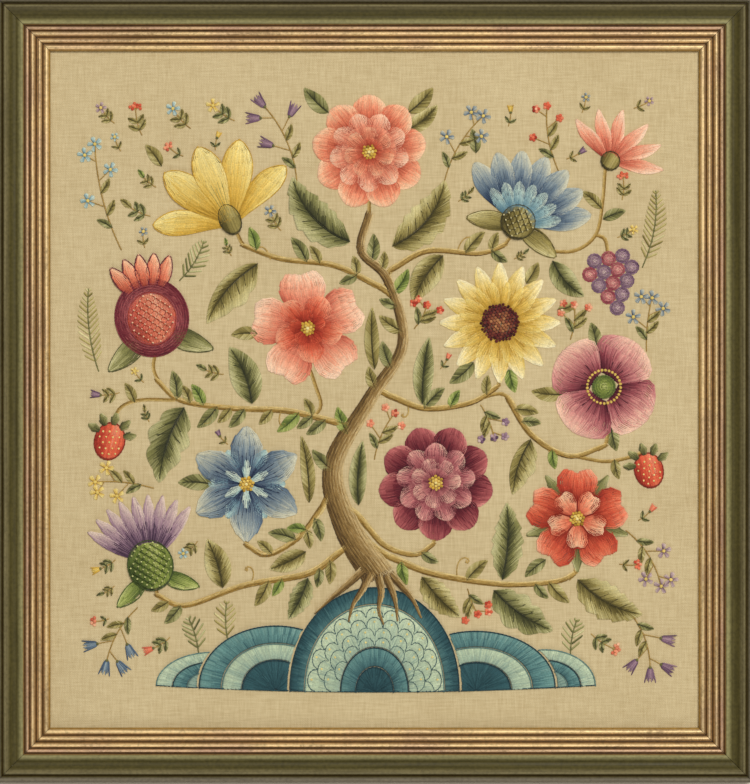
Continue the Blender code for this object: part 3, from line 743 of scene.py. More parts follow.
def petal_point(petals, angle, u, v):
    """A place on a petal, u across and v along it, from the blossom's centre."""
    rounded = 1 - max(petals.tip, 0) * u ** 2 + min(petals.tip, 0) * (1 - abs(u)) ** 2
    outward = petals.start + petals.length * v * rounded
    return turned(paired(outward, u * petal_half_width(petals, v) + petals.bend * v ** 2), angle)


def sew_layer(sewing, layer, wools, placed):
    """A ring of petals in long and short stitch, with an outline and veins where the layer has them."""
    petals = layer.petals
    for i in range(petals.count):
        angle = petals.first + i * petals.step
        lift = RIM_RISE + LAYER_RISE * layer.lift + 0.12 * (i % 3)

        def point(u, v):
            return placed(petal_point(petals, angle, u, v))

        def rise(u, v):
            return lift + CROWN_RISE * (1 - u ** 2) * np.sin(np.pi * np.clip(v * 0.85 + 0.1, 0, 1))

        fill(sewing, point, rise, layer.rows, wools[layer.wool], layer.tones, foot=layer.foot,
             ragged=0.05 if layer.rim else 0.12, side=0.28)
        if layer.veins:
            wool, tone = layer.veins
            across = np.array([-0.55, -0.28, 0.0, 0.28, 0.55])
            far = sewing.random.uniform(0.45, 0.62, len(across))
            near = np.full(len(across), 0.08)
            high = paired(rise(across, near), rise(across, far)) + LINE_RISE * 0.7
            sewing.strands(point(across, near), point(across, far), high, sewing.dye(wools[wool], tone))
        if layer.rim:
            wool, tone = layer.rim
            along = np.linspace(0.12, 1, 24)
            u = np.concatenate([-np.ones(24), np.linspace(-1, 1, 17), np.ones(24)])
            v = np.concatenate([along, np.ones(17), along[::-1]])
            rim = point(u * 0.97, v)
            sew_line(sewing, rim, lift + LINE_RISE, wools[wool], tone, 0.85 * sewing.line_width)


def lattice(across, up, spacing, angle):
    """Even rows of spots in an ellipse, each row half a step along from the last."""
    reach = int(max(across, up) / spacing) + 2
    i, j = np.meshgrid(*[np.arange(-reach, reach + 1)] * 2)
    spots = paired((i + (j % 2) / 2) * spacing, j * spacing * LATTICE_ROW).reshape(-1, 2)
    spots = turned(spots, angle)
    return spots[(spots[:, 0] / across) ** 2 + (spots[:, 1] / up) ** 2 <= 1]


def sew_heart(sewing, heart, wools, placed):
    """What fills a blossom's heart or a fruit."""
    wool = wools[heart.wool]
    base = RIM_RISE + LAYER_RISE * heart.lift
    knot = sewing.knot_width
    reach = np.array([heart.across, heart.up])

    def laid(points):
        return placed(points + np.array([heart.x, heart.y]))

    if heart.kind in ("knots", "seeds"):
        close = heart.kind == "knots"
        spots = lattice(*reach, knot * (0.92 if close else 1.9), 11)
        far = np.hypot(*(spots / reach).T)
        spots = spots + sewing.random.normal(0, 0.16, spots.shape)
        tone = 0.1 + 0.75 * far + sewing.random.normal(0, 0.12, len(far))
        if not close:
            tone = sewing.random.normal(0.15, 0.1, len(far))
        width = knot * (1.0 if close else 0.62) * sewing.random.uniform(0.88, 1.1, len(far))
        rise = base + CROWN_RISE * (1.3 - 0.7 * far ** 2)
        sewing.knots(laid(spots), rise, sewing.dye(wool, tone), width)
    elif heart.kind == "crown":
        ring = ellipse(*reach, int(2 * math.pi * heart.across / (knot * 0.98)))[:-1]
        sewing.knots(laid(ring), base + 0.5, sewing.dye(wool, 0.5), knot * 0.9)
    elif heart.kind == "rings":
        rings = max(1, int(min(reach) / (sewing.line_width * 0.86)))
        for i, share in enumerate(1 - shares(rings)):
            sew_line(sewing, laid(ellipse(*reach * share)), base + CROWN_RISE * (1 - share ** 2), wool,
                     0.66 - 0.6 * (1 - share) + 0.1 * (i % 2), step=2.6)
    else:
        sew_satin(sewing, reach, wool, laid, base)
        sew_line(sewing, laid(ellipse(*reach)), base + LINE_RISE, wool, 1.0)
        if heart.kind == "trellis":
            sew_trellis(sewing, reach, wool, laid, base + CROWN_RISE + 0.5)


def sew_satin(sewing, reach, wool, laid, base):
    """Upright satin stitches across an ellipse, in two or more lengths."""
    count = max(3, round(2 * reach[0] / sewing.lane_spacing))
    u = shares(count) * 2 - 1
    half = reach[1] * np.sqrt(1 - u ** 2)
    pieces = max(1, round(2 * reach[1] / SATIN_LENGTH))
    for i in range(pieces):
        loose = sewing.random.uniform(-0.07, 0.07, (2, count))
        low = -1 + 2 * i / pieces + (loose[0] - 0.12 if i else 0)
        high = -1 + 2 * (i + 1) / pieces + (loose[1] + 0.12 if i < pieces - 1 else 0)
        start, end = [laid(paired(u * reach[0], half * share)) for share in (low, high)]
        crown = base + CROWN_RISE * (1 - u ** 2)
        rise = paired(*(crown - SATIN_FALL * abs(share * np.ones(count)) ** 3 for share in (low, high)))
        tone = 0.15 + 0.5 * np.abs(u - 0.3) + 0.25 * (1 - (i + 0.5) / pieces)
        sewing.strands(start, end, rise, sewing.dye(wool, tone + sewing.random.normal(0, 0.06, count)))


def sew_trellis(sewing, reach, wool, laid, high):
    """Couched lattice: long threads both ways, tied where they cross."""
    far = max(reach) * 0.94
    offsets = np.arange(-far, far + 0.1, TRELLIS_SPACING)
    ends = np.full(len(offsets), far)

    def inside(points):
        return ((points / reach) ** 2).sum(axis=1) < 0.88

    for k, angle in enumerate((45, 135)):
        rise = np.full((len(offsets), 2), high + 0.12 * k)
        start, end = [turned(paired(side * ends, offsets), angle) for side in (-1, 1)]
        start, end, rise, _ = clip(inside, start, end, rise)
        sewing.strands(laid(start), laid(end), rise, sewing.dye(wool, 0.98), 0.75)
    grid = turned(np.stack(np.meshgrid(offsets, offsets), axis=-1).reshape(-1, 2), 45)
    sewing.knots(laid(grid[inside(grid)]), high + 0.35, sewing.dye(wool, 0.0), 1.5)


def sew_blossom(sewing, blossom):
    for layer in FORMS[blossom.form].layers:
        sew_layer(sewing, layer, blossom.wools, placer_of(blossom))
    for heart in FORMS[blossom.form].hearts:
        sew_heart(sewing, heart, blossom.wools, placer_of(blossom))


# Leaves

def leaf_widths(leaf, t):
    """Left and right half widths of a leaf along its rib."""
    plain = leaf.half_width * np.sin(np.pi * t ** 0.85) ** 0.8
    if leaf.kind == "curl":
        return plain * (0.84 + 0.16 * abs(np.sin(3 * np.pi * t))), plain * 0.42
    if leaf.kind == "toothed":
        plain = plain * (1 - 0.24 * (t * 6 % 1))
    if leaf.kind == "lobed":
        plain = plain * (0.74 + 0.26 * abs(np.sin(3.5 * np.pi * t)))
    return plain, plain


def leaf_rib(leaf, t):
    """Places on a leaf's rib and the direction to its left, where the rib turns evenly by its bend."""
    bend = math.radians(leaf.bend)
    heading = bend * (t - 0.5)
    reach = leaf.length / bend
    rib = paired(np.sin(heading) + math.sin(bend / 2), math.cos(bend / 2) - np.cos(heading)) * reach
    left = paired(-np.sin(heading), np.cos(heading))
    return turned(rib, leaf.heading) + np.array([leaf.x, leaf.y]), turned(left, leaf.heading)


def sew_leaf_sides(sewing, leaf, base=RIM_RISE):
    """Slanting satin stitches from the rim to the rib, in two lengths where a side is wide."""
    spacing = sewing.lane_spacing * (1.0 if leaf.half_width > 3.6 else 1.2)
    count = max(6, round(leaf.length / spacing * 1.04))
    t = shares(count)
    slant = min(0.30, 1.1 * leaf.half_width / leaf.length)
    for k, sign in enumerate((1, -1)):
        half = leaf_widths(leaf, t)[k]
        rib, left = leaf_rib(leaf, t)
        rim = rib + left * (sign * half)[:, None]
        inner, _ = leaf_rib(leaf, np.maximum(t - slant * (0.4 + 0.6 * half / leaf.half_width), 0))
        loose = sewing.random.uniform(0, 1, (2, count))
        shade = 0.16 * k + 0.12 * np.sin(t * 9 + k) - 0.30 * np.clip(t - 0.7, 0, 1)
        if half.max() < ONE_LENGTH:
            rows = ((0.0, 1.0, 0.40, 0.10, 0.14, 0.16),)
        else:
            meet = 0.50 + 0.16 * (np.arange(count) % 2) + 0.10 * loose[0]
            back = meet - 0.16 - 0.12 * loose[1]
            rows = ((0.0, meet, 0.22, 0.09, 0.16, 0.18), (back, 1.0, 0.64, 0.09, 0.22, 0.18))
        for low, high, middle, spread, paler, darker in rows:
            low, high = np.broadcast_to(low, count), np.broadcast_to(high, count)
            start, end = [rim + (inner - rim) * at[:, None] for at in (low, high)]
            tone = middle + shade + sewing.random.normal(0, spread, count)
            sewing.strands(start, end, base + CROWN_RISE * paired(low, high),
                           sewing.dye_pair(leaf.wool, tone - paler, tone + darker))


def sew_leaf(sewing, leaf):
    """A leaf with its rib and, where it is broad, its side veins."""
    sew_leaf_sides(sewing, leaf)
    high = RIM_RISE + CROWN_RISE + LINE_RISE
    sew_line(sewing, leaf_rib(leaf, np.linspace(0.0, 0.93, 30))[0], high, leaf.wool, 1.0)
    if leaf.half_width < LEAST_VEINED:
        return
    spots = np.arange(0.16, 0.86, VEIN_SPACING / leaf.length)
    for k, sign in enumerate((1, -1)):
        rib, left = leaf_rib(leaf, spots)
        foot, _ = leaf_rib(leaf, np.maximum(spots - 0.10, 0))
        tip = rib + left * (sign * leaf_widths(leaf, spots)[k] * 0.62)[:, None]
        sewing.strands(foot, tip, (high, high - CROWN_RISE * 0.5), sewing.dye(leaf.wool, 0.95), 0.8)


def sew_small_leaf(sewing, leaf, base=SMALL_RISE):
    sew_leaf_sides(sewing, leaf, base)
    rib, _ = leaf_rib(leaf, np.linspace(0, 0.85, 8))
    sew_line(sewing, rib, base + CROWN_RISE + 0.15, leaf.wool, 0.95, width=0.8)


# Trunk, branches and hillocks

def sew_rows(sewing, branch, wool="stem", taper=1.0, lift=0.0):
    """Rows of stem stitch side by side along a branch, lit on one side and dark on the other."""
    spacing = sewing.lane_spacing * 1.06
    step = sewing.line_step * 1.25
    path = resample(smooth_path(branch.points, PATH_STEPS), step)
    share = np.linspace(1, 0, len(path))
    half = (branch.end_width + (branch.start_width - branch.end_width) * share ** taper) / 2
    ahead, left = directions(path)
    rows = int(half.max() / spacing) + 1
    for k in range(-rows, rows + 1):
        offset = np.clip(k * spacing, -half + 0.35, half - 0.35)
        shown = (abs(k * spacing) <= half + 0.3)[:-1]
        start, end = lapped(path + left * offset[:, None], ahead, left, step * 0.34, 0.15)
        slip = ahead[:-1] * (step * 0.5 * (k % 2) + sewing.random.uniform(-0.4, 0.4, len(start)))[:, None]
        u = offset / half
        crown = RIM_RISE + lift + CROWN_RISE * (0.5 + branch.start_width / 30) * (1 - u ** 2)
        tone = 0.42 - 0.42 * u[:-1] * np.sign(left[:-1, 1] + left[:-1, 0] + 1e-6)
        tone = tone + 0.12 * np.sin(k * 2.1) + sewing.random.normal(0, 0.08, len(start))
        sewing.strands((start + slip)[shown], (end + slip)[shown], paired(crown[:-1], crown[1:])[shown],
                       sewing.dye(wool, tone)[shown])


def sew_wood(sewing, branch):
    """A branch, or the trunk with its roots, which lie over the hillock's top."""
    if branch is not TRUNK:
        sew_rows(sewing, branch)
        return
    for points in ROOTS:
        sew_rows(sewing, Branch("root", *ROOT_WIDTHS, points), "bark", lift=ROOT_LIFT)
    sew_rows(sewing, TRUNK, "bark", TRUNK_FLARE)


def ground_sag(x):
    """How far the ground line hangs below its ends."""
    return GROUND_SAG * (1 - (x / GROUND_HALF_WIDTH) ** 2)


def sew_mound(sewing, mound):
    """A hillock in bands of long and short stitch, with lines between them."""

    def within(front, gap, x, y):
        return ((x - front.x) / (front.half_width + gap)) ** 2 + (y / (front.height + gap)) ** 2 < 1

    def inside(points):
        x, y = points[:, 0], points[:, 1] - GROUND_Y
        shown = within(mound, 0, x, y) & (y > -ground_sag(x))
        if mound.behind is not None:
            shown &= ~within(MOUNDS[mound.behind], MOUND_GAP, x, y)
        return shown

    def point(u, v):
        x = mound.x + mound.half_width * v * np.sin(u * math.pi / 2)
        up = v * np.cos(u * math.pi / 2)
        return paired(x, GROUND_Y + (mound.height * up - ground_sag(x) * (1 - up) ** 3))

    def rise(u, v):
        return RIM_RISE + CROWN_RISE * np.sin(np.pi * np.clip(v * 0.9 + 0.05, 0, 1)) + 0 * u

    across = np.linspace(-1, 1, 140)
    for outer, inner, rows, wool, tones in mound_bands(mound):
        fill(sewing, point, rise, rows, wool, tones, inside, foot=inner, tip=outer)
        sew_arc(sewing, point(across, np.full(len(across), outer * 0.992)), inside, wool, 1.0)
    if mound.bands == "scales":
        sew_scales(sewing, point, inside, 0.80, 0.42)
    x = mound.x + mound.half_width * across
    sew_arc(sewing, paired(x, GROUND_Y - ground_sag(x) + 0.3), inside, "teal", 0.95)


def mound_bands(mound):
    """Bands of a hillock: from and to as shares of its height, rows, wool and tones."""
    if mound.bands == "scales":
        return (
            (1.00, 0.82, 2, "teal", (0.9, 0.5)),
            (0.82, 0.40, 5, "aqua", (0.25, 0.55)),
            (0.40, 0.22, 2, "teal", (0.35, 0.7)),
            (0.22, 0.00, 3, "teal", (0.8, 1.0)),
        )
    other = "teal" if mound.wool == "aqua" else "aqua"
    return (
        (1.00, 0.70, 2, mound.wool, (0.3, 0.55)),
        (0.70, 0.44, 2, other, (0.35, 0.6)),
        (0.44, 0.00, 3, mound.wool, (0.7, 0.95)),
    )


def sew_arc(sewing, spots, inside, wool, tone):
    """A dark line over a hillock, where it shows."""
    runs = np.flatnonzero(np.diff(np.concatenate([[0], inside(spots).astype(int), [0]])))
    for first, last in zip(runs[::2], runs[1::2]):
        if last - first > 4:
            sew_line(sewing, spots[first:last], RIM_RISE + CROWN_RISE * 0.6 + LINE_RISE, wool, tone)


def sew_scales(sewing, point, inside, top, bottom, rows=4):
    """Rows of round scales outlined over a band, with a knot in each."""
    high = RIM_RISE + CROWN_RISE + LINE_RISE
    tall = (top - bottom) / rows
    angle = np.linspace(0, math.pi, 15)
    for row in range(rows):
        v = top - tall * (row + 1)
        count = max(3, round(13 * v / 0.8))
        for i in range(count):
            middle = -1 + 2 * (i + 0.5 * (row % 2) + 0.5) / count
            arc = point(middle + 0.96 / count * np.cos(angle), v + tall * 0.92 * np.sin(angle))
            arc = arc[inside(arc)]
            if len(arc) < 5:
                continue
            sew_line(sewing, arc, high, "teal", 0.85, width=0.85)
            spot = point(np.array([middle]), np.array([v + tall * 0.42]))
            if inside(spot - (0.0, 2.5)).all():
                sewing.knots(spot, high + 0.1, sewing.dye("yellow", 0.2), 1.9)


# Small growth

def sew_stalks(sewing):
    """Rows of stem stitch from each branch into its blossom and into the trunk, low enough to pass under."""
    for points in STALKS:
        path = smooth_path(points, STALK_STEPS)
        _, left = directions(path)
        for offset, tone in ((0.85, 0.25), (0.0, 0.45), (-0.85, 0.7)):
            sew_line(sewing, path + left * offset, 0.6, "stem", tone)
    for points in FORKS:
        sew_rows(sewing, Branch("fork", FORK_WIDTH, FORK_WIDTH, points), lift=FORK_LIFT)
    for tendril in TENDRILS:
        sew_tendril(sewing, *tendril)
    for leaf in TUCKED_LEAVES:
        sew_small_leaf(sewing, leaf)


def sew_tendril(sewing, x, y, heading, size, hand):
    """A thread that curls up on itself."""
    t = np.linspace(0, 1, 40)
    angle = np.radians(heading) + hand * (0.6 * t + 7.0 * t ** 2.6)
    step = size * 0.062 * (1 - 0.55 * t)
    path = np.cumsum(paired(np.cos(angle) * step, np.sin(angle) * step), axis=0) + (x, y)
    sew_line(sewing, path, 0.75, "stem", 0.4, step=2.2)


def sew_small_flower(sewing, spot, turn, length, wool):
    """Five small satin petals round a knot."""
    petals = Petals(5, 90, 72, 0.6, length, length * 0.46, 0.93, 1.2, 0.1)
    sew_layer(sewing, Layer(petals, 0, (0.05, 0.7), 1, 0), (wool,), placer(*spot, turn, 1.0))
    sewing.knots(np.array([spot]), 1.9, sewing.dye("yellow", 0.35))


def sew_bell(sewing, spot, heading, length, wool):
    """A hanging flower: strands that fan out from its stalk."""
    across = np.linspace(-1, 1, 9)
    top = spot + turned(paired(0 * across, across * length * 0.14), heading)
    reach = length * (1 - 0.16 * np.cos(across * 3 * math.pi))
    foot = spot + turned(paired(reach, across * length * 0.42), heading)
    tone = 0.35 + 0.4 * np.abs(across) + sewing.random.normal(0, 0.08, 9)
    sewing.strands(top, foot, (1.3, 0.9), sewing.dye(wool, tone))
    sewing.knots(top[4:5], 1.5, sewing.dye("leaf", 0.6), 2.2)


def sew_twig(sewing, foot, tip, width, step=2.4):
    sew_line(sewing, [foot, tip], 0.8, "stem", 0.5, width, step)


def stalk_of(x, y, heading, length, bend):
    """A stalk as a leaf with no blade, so that it has a rib."""
    return Leaf("stalk", x, y, heading, length, 1, bend, "plain", "stem")


def sprig_stalk(sprig):
    return stalk_of(sprig.x, sprig.y, sprig.heading, sprig.length, sprig.bend)


def sprig_tips(sprig):
    """Where a sprig's side stalks leave it, and where and which way they end."""
    ribs, lefts = leaf_rib(sprig_stalk(sprig), np.array([0.42, 0.66, 0.84, 1.0]))
    sides = np.array([[11.0], [-10.0], [8.0], [0.0]])
    steps = sides * lefts + 0.7 * abs(sides) * ahead_of(lefts)
    steps[3] = 0.01 * ahead_of(lefts)[3]
    return ribs, ribs + steps, headings_of(steps)


def sew_fern(sewing, sprig):
    """Pairs of slanting strands along a stalk, shorter towards its ends."""
    spots = np.linspace(0.12, 0.97, max(6, int(sprig.length / 4.2)))
    rib, left = leaf_rib(sprig_stalk(sprig), spots)
    ahead = ahead_of(left)
    reach = (9.5 * np.sin(np.pi * (0.18 + 0.8 * spots)) + 1.5)[:, None]
    for sign in (1, -1):
        tip = rib + left * sign * reach * 0.8 + ahead * reach * 0.75
        tone = 0.4 + sewing.random.normal(0, 0.15, len(spots))
        sewing.strands(rib, tip, (0.9, 0.6), sewing.dye(sprig.wool, tone))
        sewing.strands(rib + ahead * 0.8, tip + ahead * 0.6, (0.8, 0.6), sewing.dye(sprig.wool, tone - 0.2))


def sew_sprig(sewing, sprig):
    """A curving stalk with small leaves and what it carries."""
    stalk = sprig_stalk(sprig)
    fern = sprig.kind == "fern"
    sew_line(sewing, leaf_rib(stalk, np.linspace(0, 1, 20))[0], 0.85, "leaf" if fern else "stem", 0.55)
    if fern:
        sew_fern(sewing, sprig)
        return
    for rib, tip, heading in zip(*sprig_tips(sprig)):
        if np.linalg.norm(tip - rib) > 1:
            sew_twig(sewing, rib, tip, 0.8)
        if sprig.kind == "stars":
            sew_small_flower(sewing, tip, heading, 5.8, sprig.wool)
        elif sprig.kind == "bells":
            sew_bell(sewing, tip, heading, 10.5, sprig.wool)
        else:
            cluster = tip + np.vstack([(0, 0), ellipse(1.9, 1.9, 5)[:-1]])
            tone = 0.45 + sewing.random.normal(0, 0.22, len(cluster))
            sewing.knots(cluster, 1.2 + 0.4 * (np.arange(len(cluster)) == 0), sewing.dye(sprig.wool, tone))
    for at, side, wool in ((0.22, 1, "leaf"), (0.34, -1, "olive"), (0.55, -1, "olive")):
        rib, left = leaf_rib(stalk, np.array([at]))
        heading = headings_of(left)[0] - 90 + side * 42
        sew_small_leaf(sewing, Leaf("small", *rib[0], heading, 13, 2.9, 14, "plain", wool))


def sew_sprigs(sewing, kind):
    for sprig in SPRIGS:
        if sprig.kind == kind:
            sew_sprig(sewing, sprig)


class Ground:
    """The sewn parts of the linen as circles, so that small growth finds the open places."""

    def __init__(self):
        self.circles = []
        for blossom in BLOSSOMS:
            self.take_blossom(blossom)
        for leaf in (*LEAVES, *TUCKED_LEAVES):
            self.take_leaf(leaf)
        for branch in (TRUNK, *BRANCHES):
            path = resample(smooth_path(branch.points, PATH_STEPS), 5.0)
            self.take(path, 1 + np.linspace(branch.start_width, branch.end_width, len(path)) / 2)
        for points in (*STALKS, *FORKS):
            self.take(resample(smooth_path(points, STALK_STEPS), 4.0), 2.0)
        for sprig in SPRIGS:
            along = leaf_rib(sprig_stalk(sprig), np.linspace(0.05, 1, 9))[0]
            self.take(along, 9.0 if sprig.kind == "fern" else 6.0)
            if sprig.kind != "fern":
                for _, tip, heading in zip(*sprig_tips(sprig)):
                    self.take([beyond(tip, 4.0, heading)], 8.0)
        for x, y, _, size, _ in TENDRILS:
            self.take([(x, y + size * 0.4)], size * 0.7)

    def take(self, spots, radius):
        self.circles += np.column_stack([spots, np.broadcast_to(radius, len(spots))]).tolist()

    def take_blossom(self, blossom):
        placed = placer_of(blossom)
        v = np.array([0.25, 0.5, 0.75, 0.9])
        for petals in (layer.petals for layer in FORMS[blossom.form].layers):
            for i in range(petals.count):
                self.take(placed(petal_point(petals, petals.first + i * petals.step, 0 * v, v)),
                          petal_half_width(petals, v) * blossom.size)
        for heart in FORMS[blossom.form].hearts:
            self.take(placed([[heart.x, heart.y]]), max(heart.across, heart.up))

    def take_leaf(self, leaf):
        t = np.linspace(0.1, 0.95, 6)
        self.take(leaf_rib(leaf, t)[0], np.maximum(*leaf_widths(leaf, t)) + 0.5)

    def room(self, spots):
        """Distance from each spot to the nearest sewn part or to the edge of the field."""
        x, y, radius = np.array(self.circles).T
        near = (np.hypot(spots[:, :1] - x, spots[:, 1:] - y) - radius).min(axis=1)
        edges = [FIELD_HALF_WIDTH - abs(spots[:, 0]), FIELD_TOP - spots[:, 1], spots[:, 1] - FIELD_BOTTOM]
        for mound in MOUNDS:
            across = (spots[:, 0] - mound.x) / mound.half_width
            up = (spots[:, 1] - GROUND_Y) / mound.height
            edges.append((np.hypot(across, up) - 1) * mound.height - 1)
        return np.minimum(near, np.min(edges, axis=0))

    def fits(self, leaf, start):
        """Whether a leaf's blade past a share of its length lies in the open. One that does is taken."""
        t = np.array([start, (2 * start + 1) / 3, (start + 2) / 3, 1.0])
        open_ground = (self.room(leaf_rib(leaf, t)[0]) > 0.45 * leaf_widths(leaf, t)[0] + 1.0).all()
        if open_ground:
            self.take_leaf(leaf)
        return open_ground


def sew_growth(sewing, ground):
    """Small leaves along the branches and from behind the blossoms, wherever there is room for them."""
    wools = cycle(("olive", "leaf", "moss", "olive", "leaf"))
    wool = next(wools)
    for branch in (*BRANCHES, TRUNK):
        path = resample(smooth_path(branch.points, PATH_STEPS), 10.0)
        heading = headings_of(directions(path)[0])
        for i in range(1, len(path) - 1):
            for side in (1, -1) if i % 2 else (-1, 1):
                leaf = Leaf("leaflet", *path[i], heading[i] + side * 52, 22.0 - 3.5 * (i % 3),
                            5.2 - 0.6 * (i % 3), -side * 26, "plain", wool)
                if ground.fits(leaf, 0.75 if branch is TRUNK else 0.55):
                    sew_small_leaf(sewing, leaf)
                    wool = next(wools)
    for blossom in BLOSSOMS:
        for ring in (layer.petals for layer in FORMS[blossom.form].layers):
            if ring.count * ring.step == 360 and ring.length > 30:
                break
        else:
            continue
        for i in range(0, ring.count, 2 if ring.count > 12 else 1):
            angle = ring.first + (i + 0.5) * ring.step
            foot = beyond(np.zeros(2), ring.start + ring.length * 0.74, angle)
            for size, lean in ((30, 10), (24, -16), (18, 4)):
                leaf = Leaf("tucked", *placer_of(blossom)(foot), angle + blossom.turn + lean, size,
                            2.6 + size / 7, lean * 2 + 6, "plain", wool)
                if ground.fits(leaf, 0.62):
                    sew_small_leaf(sewing, leaf, TUCKED_RISE)
                    wool = next(wools)
                    break


def sew_seedlings(sewing, ground):
    """Small sprigs in what open ground is left, the widest place first."""
    x, y = np.meshgrid(np.arange(-FIELD_HALF_WIDTH, FIELD_HALF_WIDTH, SPOT_STEP),
                       np.arange(FIELD_BOTTOM, FIELD_TOP, SPOT_STEP))
    spots = np.column_stack([x.ravel(), y.ravel()])
    spots += sewing.random.uniform(-1.8, 1.8, spots.shape)
    room = ground.room(spots)
    liking = sewing.random.uniform(0.7, 1.0, len(spots))
    for kind, wool in cycle(SEEDLINGS):
        if room.max() <= LEAST_ROOM:
            break
        at = np.where(room > LEAST_ROOM, np.minimum(room, MOST_ROOM) * liking, 0).argmax()
        size = min(room[at] - SPARE_ROOM, MOST_ROOM)
        spot = spots[at]
        lean = math.degrees(math.atan2(spot[1] + 120, spot[0])) + sewing.random.uniform(-40, 40)
        sew_seedling(sewing, spot, lean, size, kind, wool)
        room = np.minimum(room, np.hypot(*(spots - spot).T) - size)


def sew_seedling(sewing, spot, heading, size, kind, wool):
    """A short stalk in a circle of a given size, with leaves and a flower, bud, berries or a leaf on top."""
    foot = beyond(spot, -size * 0.92, heading)
    stalk = stalk_of(*foot, heading, size * 1.5, 24 if spot[0] > 0 else -24)
    sew_line(sewing, leaf_rib(stalk, np.linspace(0, 1, 10))[0], 0.8, "stem", 0.5, width=0.85)
    ribs, lefts = leaf_rib(stalk, np.array([0.22, 0.5, 1.0]))
    headings = headings_of(lefts) - 90
    green = "leaf" if wool in ("olive", "yellow", "coral") else "olive"
    for i, side in ((0, 1), (0, -1), (1, 1), (1, -1))[:4 if size > 8.5 or kind == "twig" else 2]:
        sew_small_leaf(sewing, Leaf("small", *ribs[i], headings[i] + side * 50, size * 0.72 - i,
                                    size * 0.17, -side * 20, "plain", green))
    if kind == "star":
        sew_small_flower(sewing, ribs[2], heading, size * 0.42, wool)
    elif kind == "bud":
        sew_bell(sewing, ribs[2] - (ribs[2] - ribs[1]) * 0.3, headings[2], size * 0.66, wool)
    elif kind == "twig":
        sew_small_leaf(sewing, Leaf("small", *(ribs[1] * 0.4 + ribs[2] * 0.6), headings[2], size * 0.8,
                                    size * 0.2, 10, "plain", wool))
    else:
        for lean in (0, 55, -55):
            tip = beyond(ribs[2], size * 0.26, headings[2] + lean)
            sew_twig(sewing, ribs[2], tip, 0.7)
            tone = 0.4 + sewing.random.normal(0, 0.15, 3)
            ring = tip + turned(np.array([[1.4, 0.0], [-0.7, 1.2], [-0.7, -1.2]]), lean)
            sewing.knots(ring, 1.3, sewing.dye(wool, tone), 2.5)


# Meshes of the stitches

def unit_mesh(name, points, faces, along, plans):
    """One stitch's mesh. along is 0 at its start and 1 at its end, and plans lay its corners out flat."""
    mesh = bpy.data.meshes.new(name)
    mesh.from_pydata(points, [], faces)
    mesh.attributes.new("along", "FLOAT", "POINT").data.foreach_set("value", along)
    flat = mesh.attributes.new("plan", "FLOAT_VECTOR", "CORNER")
    flat.data.foreach_set("vector", np.array([(*uv, 0.0) for face in plans for uv in face]).ravel())
    mesh.shade_smooth()
    return bpy.data.objects.new(name, mesh)


def strand_unit():
    """A strand from x 0 to 1, one wide and one high, with a flat foot and ends that dive into the cloth."""
    section = ((-0.5, 0.0), (-0.41, 0.60), (0.0, 1.0), (0.41, 0.60), (0.5, 0.0))
    sides = len(section)
    end_up, dive = 0.10, 0.14
    rings = [(x, y, z) for x in (dive, 1 - dive) for y, z in section]
    points = [(0.0, 0.0, end_up), *rings, (1.0, 0.0, end_up)]
    near, far, last = 1, 1 + sides, 1 + 2 * sides
    faces, plans = [], []

    def face(*corners):
        """Each corner is a point's number and its place round the strand."""
        faces.append([corner for corner, _ in corners])
        plans.append([(0.1 + 0.8 * points[corner][0], 0.1 + 0.8 * around) for corner, around in corners])

    girth = [i / sides for i in range(sides + 1)]
    for ring, tip, order in ((near, 0, 1), (far, last, -1)):
        for i in range(sides):
            corners = ((tip, girth[i] + 0.1), (ring + (i + 1) % sides, girth[i + 1]), (ring + i, girth[i]))
            face(*corners[::order])
    for i in range(sides):
        j = (i + 1) % sides
        face((near + i, girth[i]), (near + j, girth[i + 1]), (far + j, girth[i + 1]), (far + i, girth[i]))
    return unit_mesh("Strand", points, faces, [x for x, _, _ in points], plans)


def knot_unit():
    """A French knot, one wide and one high: a wound ring of wool with a dimple."""
    sides = 8
    rings = ((0.5, 0.0, 0.34), (0.52, 0.45, 0.24), (0.32, 1.0, 0.12))
    last = len(rings) - 1
    top_plan, foot_plan, foot_size = (0.40, 0.5), (0.87, 0.87), 0.25
    points, faces, plans = [], [], []
    for k, (radius, up, _) in enumerate(rings):
        for i in range(sides):
            angle = 2 * math.pi * (i + 0.35 * k) / sides
            wound = radius * (1 + 0.07 * math.sin(2 * angle + k))
            points.append((wound * math.cos(angle), wound * math.sin(angle), up))
    points += [(0, 0, 0.0), (0, 0, 0.74)]
    foot, top = len(points) - 2, len(points) - 1

    def spot(k, i, centre=top_plan, size=1.0):
        angle, reach = 2 * math.pi * i / sides, rings[k][2] * size
        return centre[0] + reach * math.cos(angle), centre[1] + reach * math.sin(angle)

    for i in range(sides):
        j = (i + 1) % sides
        for k in range(last):
            low, high = k * sides, (k + 1) * sides
            faces.append((low + i, low + j, high + j, high + i))
            plans.append((spot(k, i), spot(k, i + 1), spot(k + 1, i + 1), spot(k + 1, i)))
        faces += [(last * sides + i, last * sides + j, top), (j, i, foot)]
        plans += [(spot(last, i), spot(last, i + 1), top_plan),
                  (spot(0, i + 1, foot_plan, foot_size), spot(0, i, foot_plan, foot_size), foot_plan)]
    return unit_mesh("Knot", points, faces, [0.5] * len(points), plans)


# Node trees. The names of the nodes that they use most, for short
MATH, VECTOR, MIX = "ShaderNodeMath", "ShaderNodeVectorMath", "ShaderNodeMix"
SPLIT, JOIN = "ShaderNodeSeparateXYZ", "ShaderNodeCombineXYZ"
NOISE, RANGE, STORE = "ShaderNodeTexNoise", "ShaderNodeMapRange", "GeometryNodeStoreNamedAttribute"


